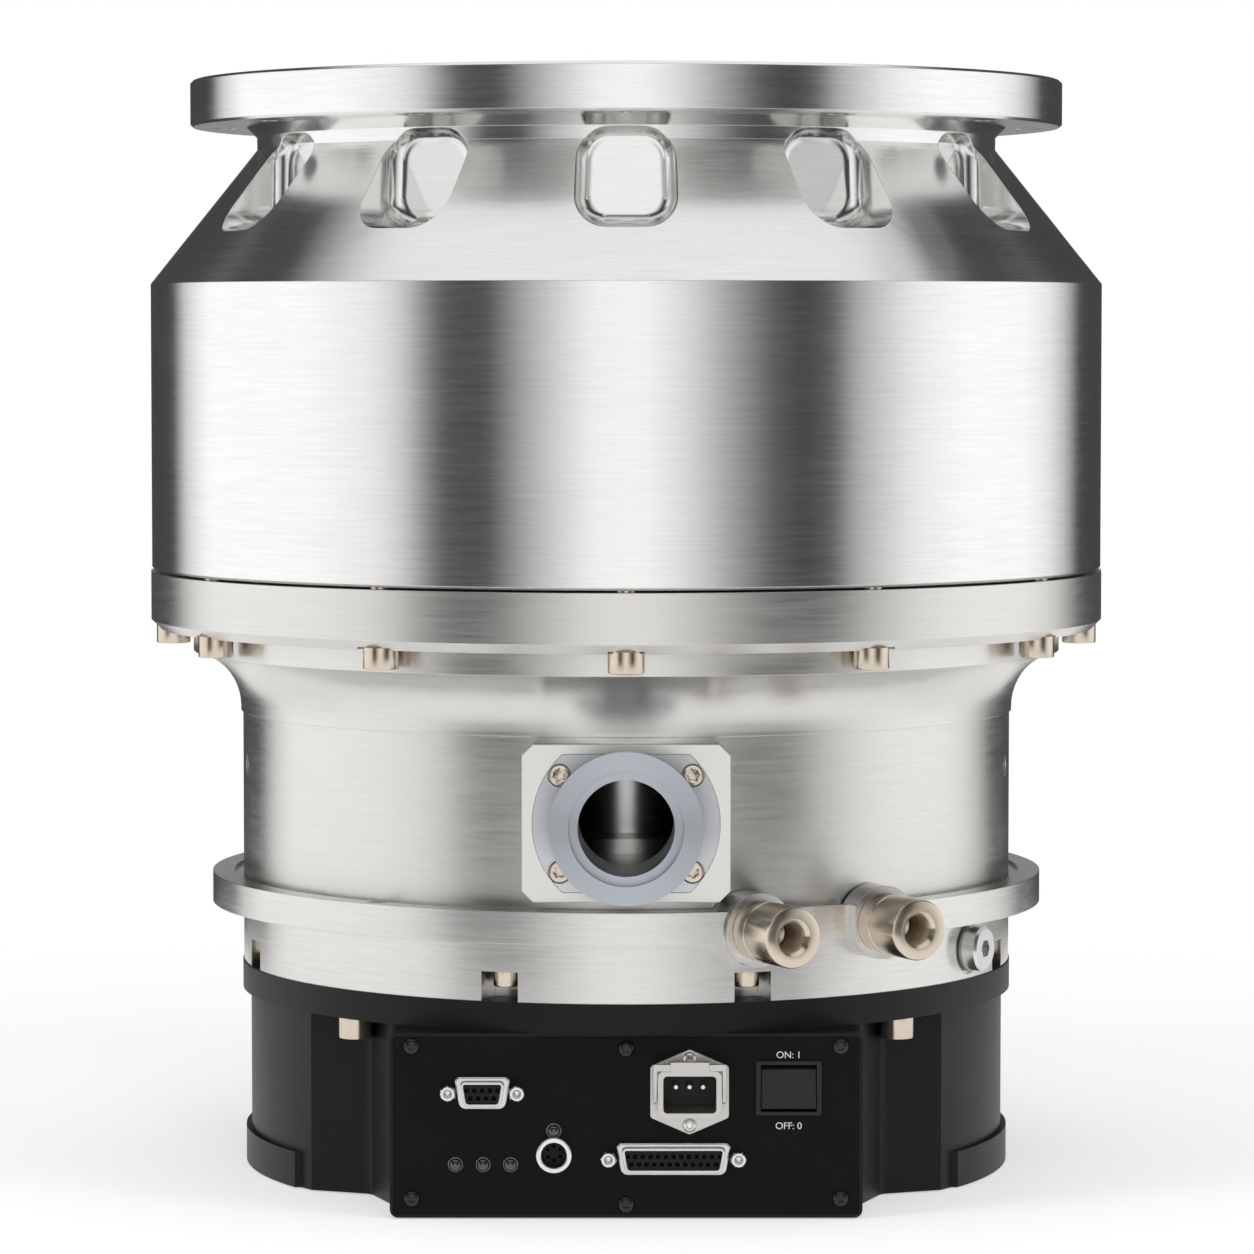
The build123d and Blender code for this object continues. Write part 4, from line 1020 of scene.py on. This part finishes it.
@dataclass
class LinkSocket(SubAssembly):
    """Round socket: silver ring, black insert with contacts, black button above."""

    place: Point = (-26.1, 23.1)
    key_place: Point = (-26.1, 31.7)
    radius: float = 6.65
    bore: float = 4.6
    stand: float = 3.0
    depth: float = 10.0
    floor: float = -3.0
    contacts: int = 6
    contact_circle: float = 2.6
    contact_depth: float = 6.0
    contact_radius: float = 0.5

    def ring(self) -> BMesh:
        """Ring with a collar."""
        wide, bore, top, back = self.radius, self.bore, self.stand, -self.depth
        return turn_up([
            (bore, back), (wide - 1.1, back), (wide - 1.1, 0), (wide - 0.1, 0), (wide, 0.1),
            (wide, top - 0.8), (wide - 0.3, top - 0.2), (wide - 0.8, top), (bore + 0.5, top),
            (bore + 0.1, top - 0.2), (bore, top - 0.6), (bore, back)], 64)

    def build(self) -> None:
        """Ring, insert and button."""
        place = on_panel(self.place)
        bore, floor, back = self.bore, self.floor, -self.depth
        self.add("link_ring_detail", moved(self.ring(), place), JACK_STEEL, "link_socket_ring")
        block = turn_up([(0, back), (bore - 0.05, back), (bore - 0.05, floor - 0.2), (bore - 0.25, floor),
                         (0, floor)])
        insert = self.add("link_insert_detail", moved(block, place), INSERT_BLACK, "link_socket_insert")
        pin, end = self.contact_radius, -self.contact_depth
        hole = turn_up([(0, end), (pin, end), (pin, floor - 0.3), (pin + 0.3, floor + 0.2),
                        (0, floor + 0.2)], 12)
        spots = [Matrix.Translation(at_angle(angle) @ Vector((self.contact_circle, 0, 0)))
                 for angle in even_angles(self.contacts, 30.0)]
        cut_out(insert, moved(copies(hole, spots), place))
        button = moved(StatusLamps().lamp(), on_panel(self.key_place))
        button = self.add("link_button", button, LAMP_BLACK, "link_socket_key")
        gap = self.radius + 0.1
        cut_out(button, moved(turn_up([(0, -2), (gap, -2), (gap, 4), (0, 4)], 64), place))


@dataclass
class PowerInlet(SubAssembly):
    """Mains inlet with its pins, screws and locking lever."""

    place: Point = (22.9, 46.1)
    screw_rise: float = 12.1
    screw: CapScrew = CapScrew(2.5, 1.7, 1.5, 1.8, 1.0, 1.1, Section.LOBES, domed=True)
    pin_pitch: float = 4.9
    pin_rise: float = 1.3
    pin_radius: float = 1.33
    pin_start: float = -11.0
    pin_end: float = -1.0
    plate: float = 2.0

    def build(self) -> None:
        """Dress the housing and its floor, make pins and screws."""
        place = on_panel(self.place)
        self.dress(INLET_GREY, "power_inlet_housing", "power_inlet_lever")
        self.dress(PIN_PLASTIC, "power_inlet_insert")
        wide, end = self.pin_radius, self.pin_end
        pin = turn_up([(0, self.pin_start), (wide, self.pin_start), (wide, end - 0.6),
                       (wide * 0.8, end - 0.1), (wide * 0.4, end + 0.05), (0, end + 0.08)], 24)
        offsets = [Matrix.Translation((k * self.pin_pitch, self.pin_rise, 0)) for k in (-1, 0, 1)]
        self.add("inlet_pins", moved(copies(pin, offsets), place), JACK_STEEL)
        seats = [Matrix.Translation((0, side * self.screw_rise, self.plate)) for side in (-1, 1)]
        screws = copies(self.screw.build(), seats)
        self.add("inlet_screws", moved(screws, place), JACK_STEEL, "power_inlet_screws")


@dataclass
class MainSwitch(SubAssembly):
    """Rocker switch, pressed in at its upper side."""

    z: float = 47.3
    rise: float = 5.4
    slope: float = 55.0
    depth: float = 147.2

    def rocker(self) -> BMesh:
        """The rocker with its upper edge cut back to a slope."""
        bm = moved(node_mesh("switch_rocker"), TO_MILLIMETRES)
        turn = math.radians(self.slope)
        made = bmesh.ops.bisect_plane(
            bm, geom=list(bm.verts) + list(bm.edges) + list(bm.faces), dist=0.0001, clear_outer=True,
            plane_co=(0, -self.depth, self.z + self.rise), plane_no=(0, -math.cos(turn), math.sin(turn)))
        bmesh.ops.edgeloop_fill(bm, edges=only(BMEdge, made["geom_cut"]))
        return bm

    def build(self) -> None:
        """Bezel and rocker."""
        self.dress(SWITCH_BLACK, "switch_bezel")
        self.add("rocker_cap", self.rocker(), SWITCH_BLACK, "switch_rocker", body="rocker")


# ---- Studio ----
@dataclass
class Studio:
    """Pale floor, pale surroundings with long soft lights at both sides, and the camera."""

    eye: Triple = (0.0003, -1.956, 0.3223)
    pitch: float = 3.42
    lens: float = 145.0
    bands: tuple[Point, ...] = (
        (-180, 0.30), (-175, 0.30), (-170, 0.0), (-139, 0.0), (-131, 0.85), (-119, 1.42), (-80, 1.38),
        (-62, 1.18), (-54, 0.85), (-49, 0.35), (-44, 0.04), (-32, 0.02), (-22, 0.6), (-8, 1.28), (4, 1.34),
        (13, 1.05), (24, 0.48), (34, 0.08), (42, 0.0), (50, 0.06), (56, 0.55), (72, 1.18), (88, 1.40),
        (110, 1.38), (122, 1.1), (131, 0.6), (139, 0.0), (170, 0.0), (175, 0.30), (180, 0.30))
    band_top: Point = (0.36, 0.56)
    ceiling: Point = (0.66, 0.86)
    ceiling_level: float = 1.16
    gap_level: float = 0.07
    floor_radius: float = 0.75
    floor_level: float = -0.0004
    floor_glow: float = 0.40
    floor_fade: Point = (0.5, 0.97)
    aim: Triple = (0, 0, 0.2)
    lamps: tuple[tuple[str, Triple, Point, float], ...] = (
        ("left_light", (-1.5, -1.0, 0.9), (0.5, 1.2), 9.0),
        ("right_light", (1.5, -1.0, 0.9), (0.5, 1.2), 7.0),
        ("front_light", (0.25, -1.9, 1.3), (0.6, 0.4), 5.0))

    def world(self) -> None:
        """White for the eye; soft lights and dark gaps round the pump for everything else."""
        world = bpy.data.worlds.new("studio")
        bpy.context.scene.world = world
        world.use_nodes = True
        sky = Nodes(world.node_tree)
        x, y, z = sky.node("SeparateXYZ", {0: sky.out("TexCoord", "Generated")}).outputs
        turn = sky.math("ARCTAN2", x, sky.math("MULTIPLY", y, -1.0))
        ramp = sky.node("ValToRGB", {0: sky.math("ADD", sky.math("DIVIDE", turn, 2 * math.pi), 0.5)})
        stops = ramp.color_ramp.elements
        top = max(value for _, value in self.bands)
        while len(stops) < len(self.bands):
            stops.new(0.5)
        for stop, (angle, value) in zip(stops, self.bands):
            stop.position = angle / 360 + 0.5
            stop.color = (value / top, value / top, value / top, 1)
        sides = sky.math("MULTIPLY", ramp.outputs[0], top)
        above = sky.math("MULTIPLY", sky.rise(z, *self.ceiling), self.ceiling_level)
        round_it = sky.math("MULTIPLY", sides, sky.math("SUBTRACT", 1.0, sky.rise(z, *self.band_top)))
        light = sky.math("ADD", sky.math("ADD", above, round_it), self.gap_level)
        sky.node("OutputWorld", {"Surface": sky.blend(
            sky.out("LightPath", "Is Camera Ray"), sky.out("Background", 0, {"Strength": light}),
            sky.out("Background", 0, {"Color": WHITE}))})

    def floor(self) -> None:
        """Round pale floor that keeps the pump's soft shadow and runs out into the white round it."""
        bm = bmesh.new()
        bmesh.ops.create_circle(bm, cap_ends=True, radius=self.floor_radius, segments=96)
        bmesh.ops.translate(bm, vec=(0, 0, self.floor_level), verts=bm.verts)
        mesh = bpy.data.meshes.new("floor")
        bm.to_mesh(mesh)
        bm.free()
        floor = link("floor", mesh)
        shader = Shader("pale_floor")
        seen = shader.node("LightPath").outputs
        most = shader.math("MAXIMUM", seen["Is Camera Ray"], shader.math(
            "MAXIMUM", seen["Is Glossy Ray"], seen["Is Transmission Ray"]))
        shader.put(shader.surface, {
            "Base Color": (0.82, 0.82, 0.82, 1), "Roughness": 0.9, "Specular IOR Level": 0.1,
            "Emission Color": WHITE, "Emission Strength": shader.math("MULTIPLY", most, self.floor_glow)})
        fade = shader.rise(shader.vector("LENGTH", shader.place()),
                           *(share * self.floor_radius for share in self.floor_fade))
        shader.put(shader.output, {"Surface": shader.blend(
            shader.math("MULTIPLY", most, fade), shader.surface.outputs[0], shader.out("Emission", 0))})
        mesh.materials.append(shader.material)
        floor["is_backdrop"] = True

    def lamp(self, name: str, place: Triple, size: Point, power: float) -> None:
        """Soft box that looks at the middle of the pump, its place and size in metres, power in watts."""
        light = bpy.data.lights.new(name, "AREA")
        light.shape = "RECTANGLE"
        light.size, light.size_y = size
        light.energy = power
        holder = link(name, light)
        holder.location = place
        holder.rotation_euler = (Vector(self.aim) - Vector(place)).to_track_quat("-Z", "Y").to_euler()
        holder.visible_glossy = False

    def camera(self) -> None:
        """The camera, level with the casing and tipped down a little."""
        data = bpy.data.cameras.new("camera")
        data.lens = self.lens
        data.sensor_width = 36.0
        data.clip_end = 50.0
        holder = link("camera", data)
        holder.location = self.eye
        holder.rotation_euler = (math.radians(90 - self.pitch), 0, 0)
        bpy.context.scene.camera = holder

    def build(self) -> None:
        """Set the stage."""
        bpy.context.scene.view_settings.view_transform = "Standard"
        self.world()
        self.floor()
        for lamp in self.lamps:
            self.lamp(*lamp)
        self.camera()


def corners(bounds: Iterable[Iterable[float]]) -> list[list[float]]:
    """Box corners as plain lists."""
    return [[float(value) for value in corner] for corner in bounds]


def main() -> None:
    """Build the sub-assemblies in order."""
    logging.basicConfig(level=logging.INFO, format="%(name)s: %(message)s")
    before = corners(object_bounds())
    Studio().build()
    assemblies: list[SubAssembly] = [
        Casing(), Base(), Exhaust(), Foot(), Rotor(), Controller(), Panel(),
        DSocket("comm_socket", (-51.9, 45.7), 20.8, 14.3, (5, 4)),
        DSocket("remote_socket", (17.1, 21.7), 42.0, 35.8, (13, 12)),
        Jackscrews(), StatusLamps(), LinkSocket(), PowerInlet(), MainSwitch()]
    for assembly in assemblies:
        assembly.build()
        LOG.info("built %s", type(assembly).__name__)
    after = corners(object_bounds())


if __name__ == "__main__":
    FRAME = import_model()
    main()
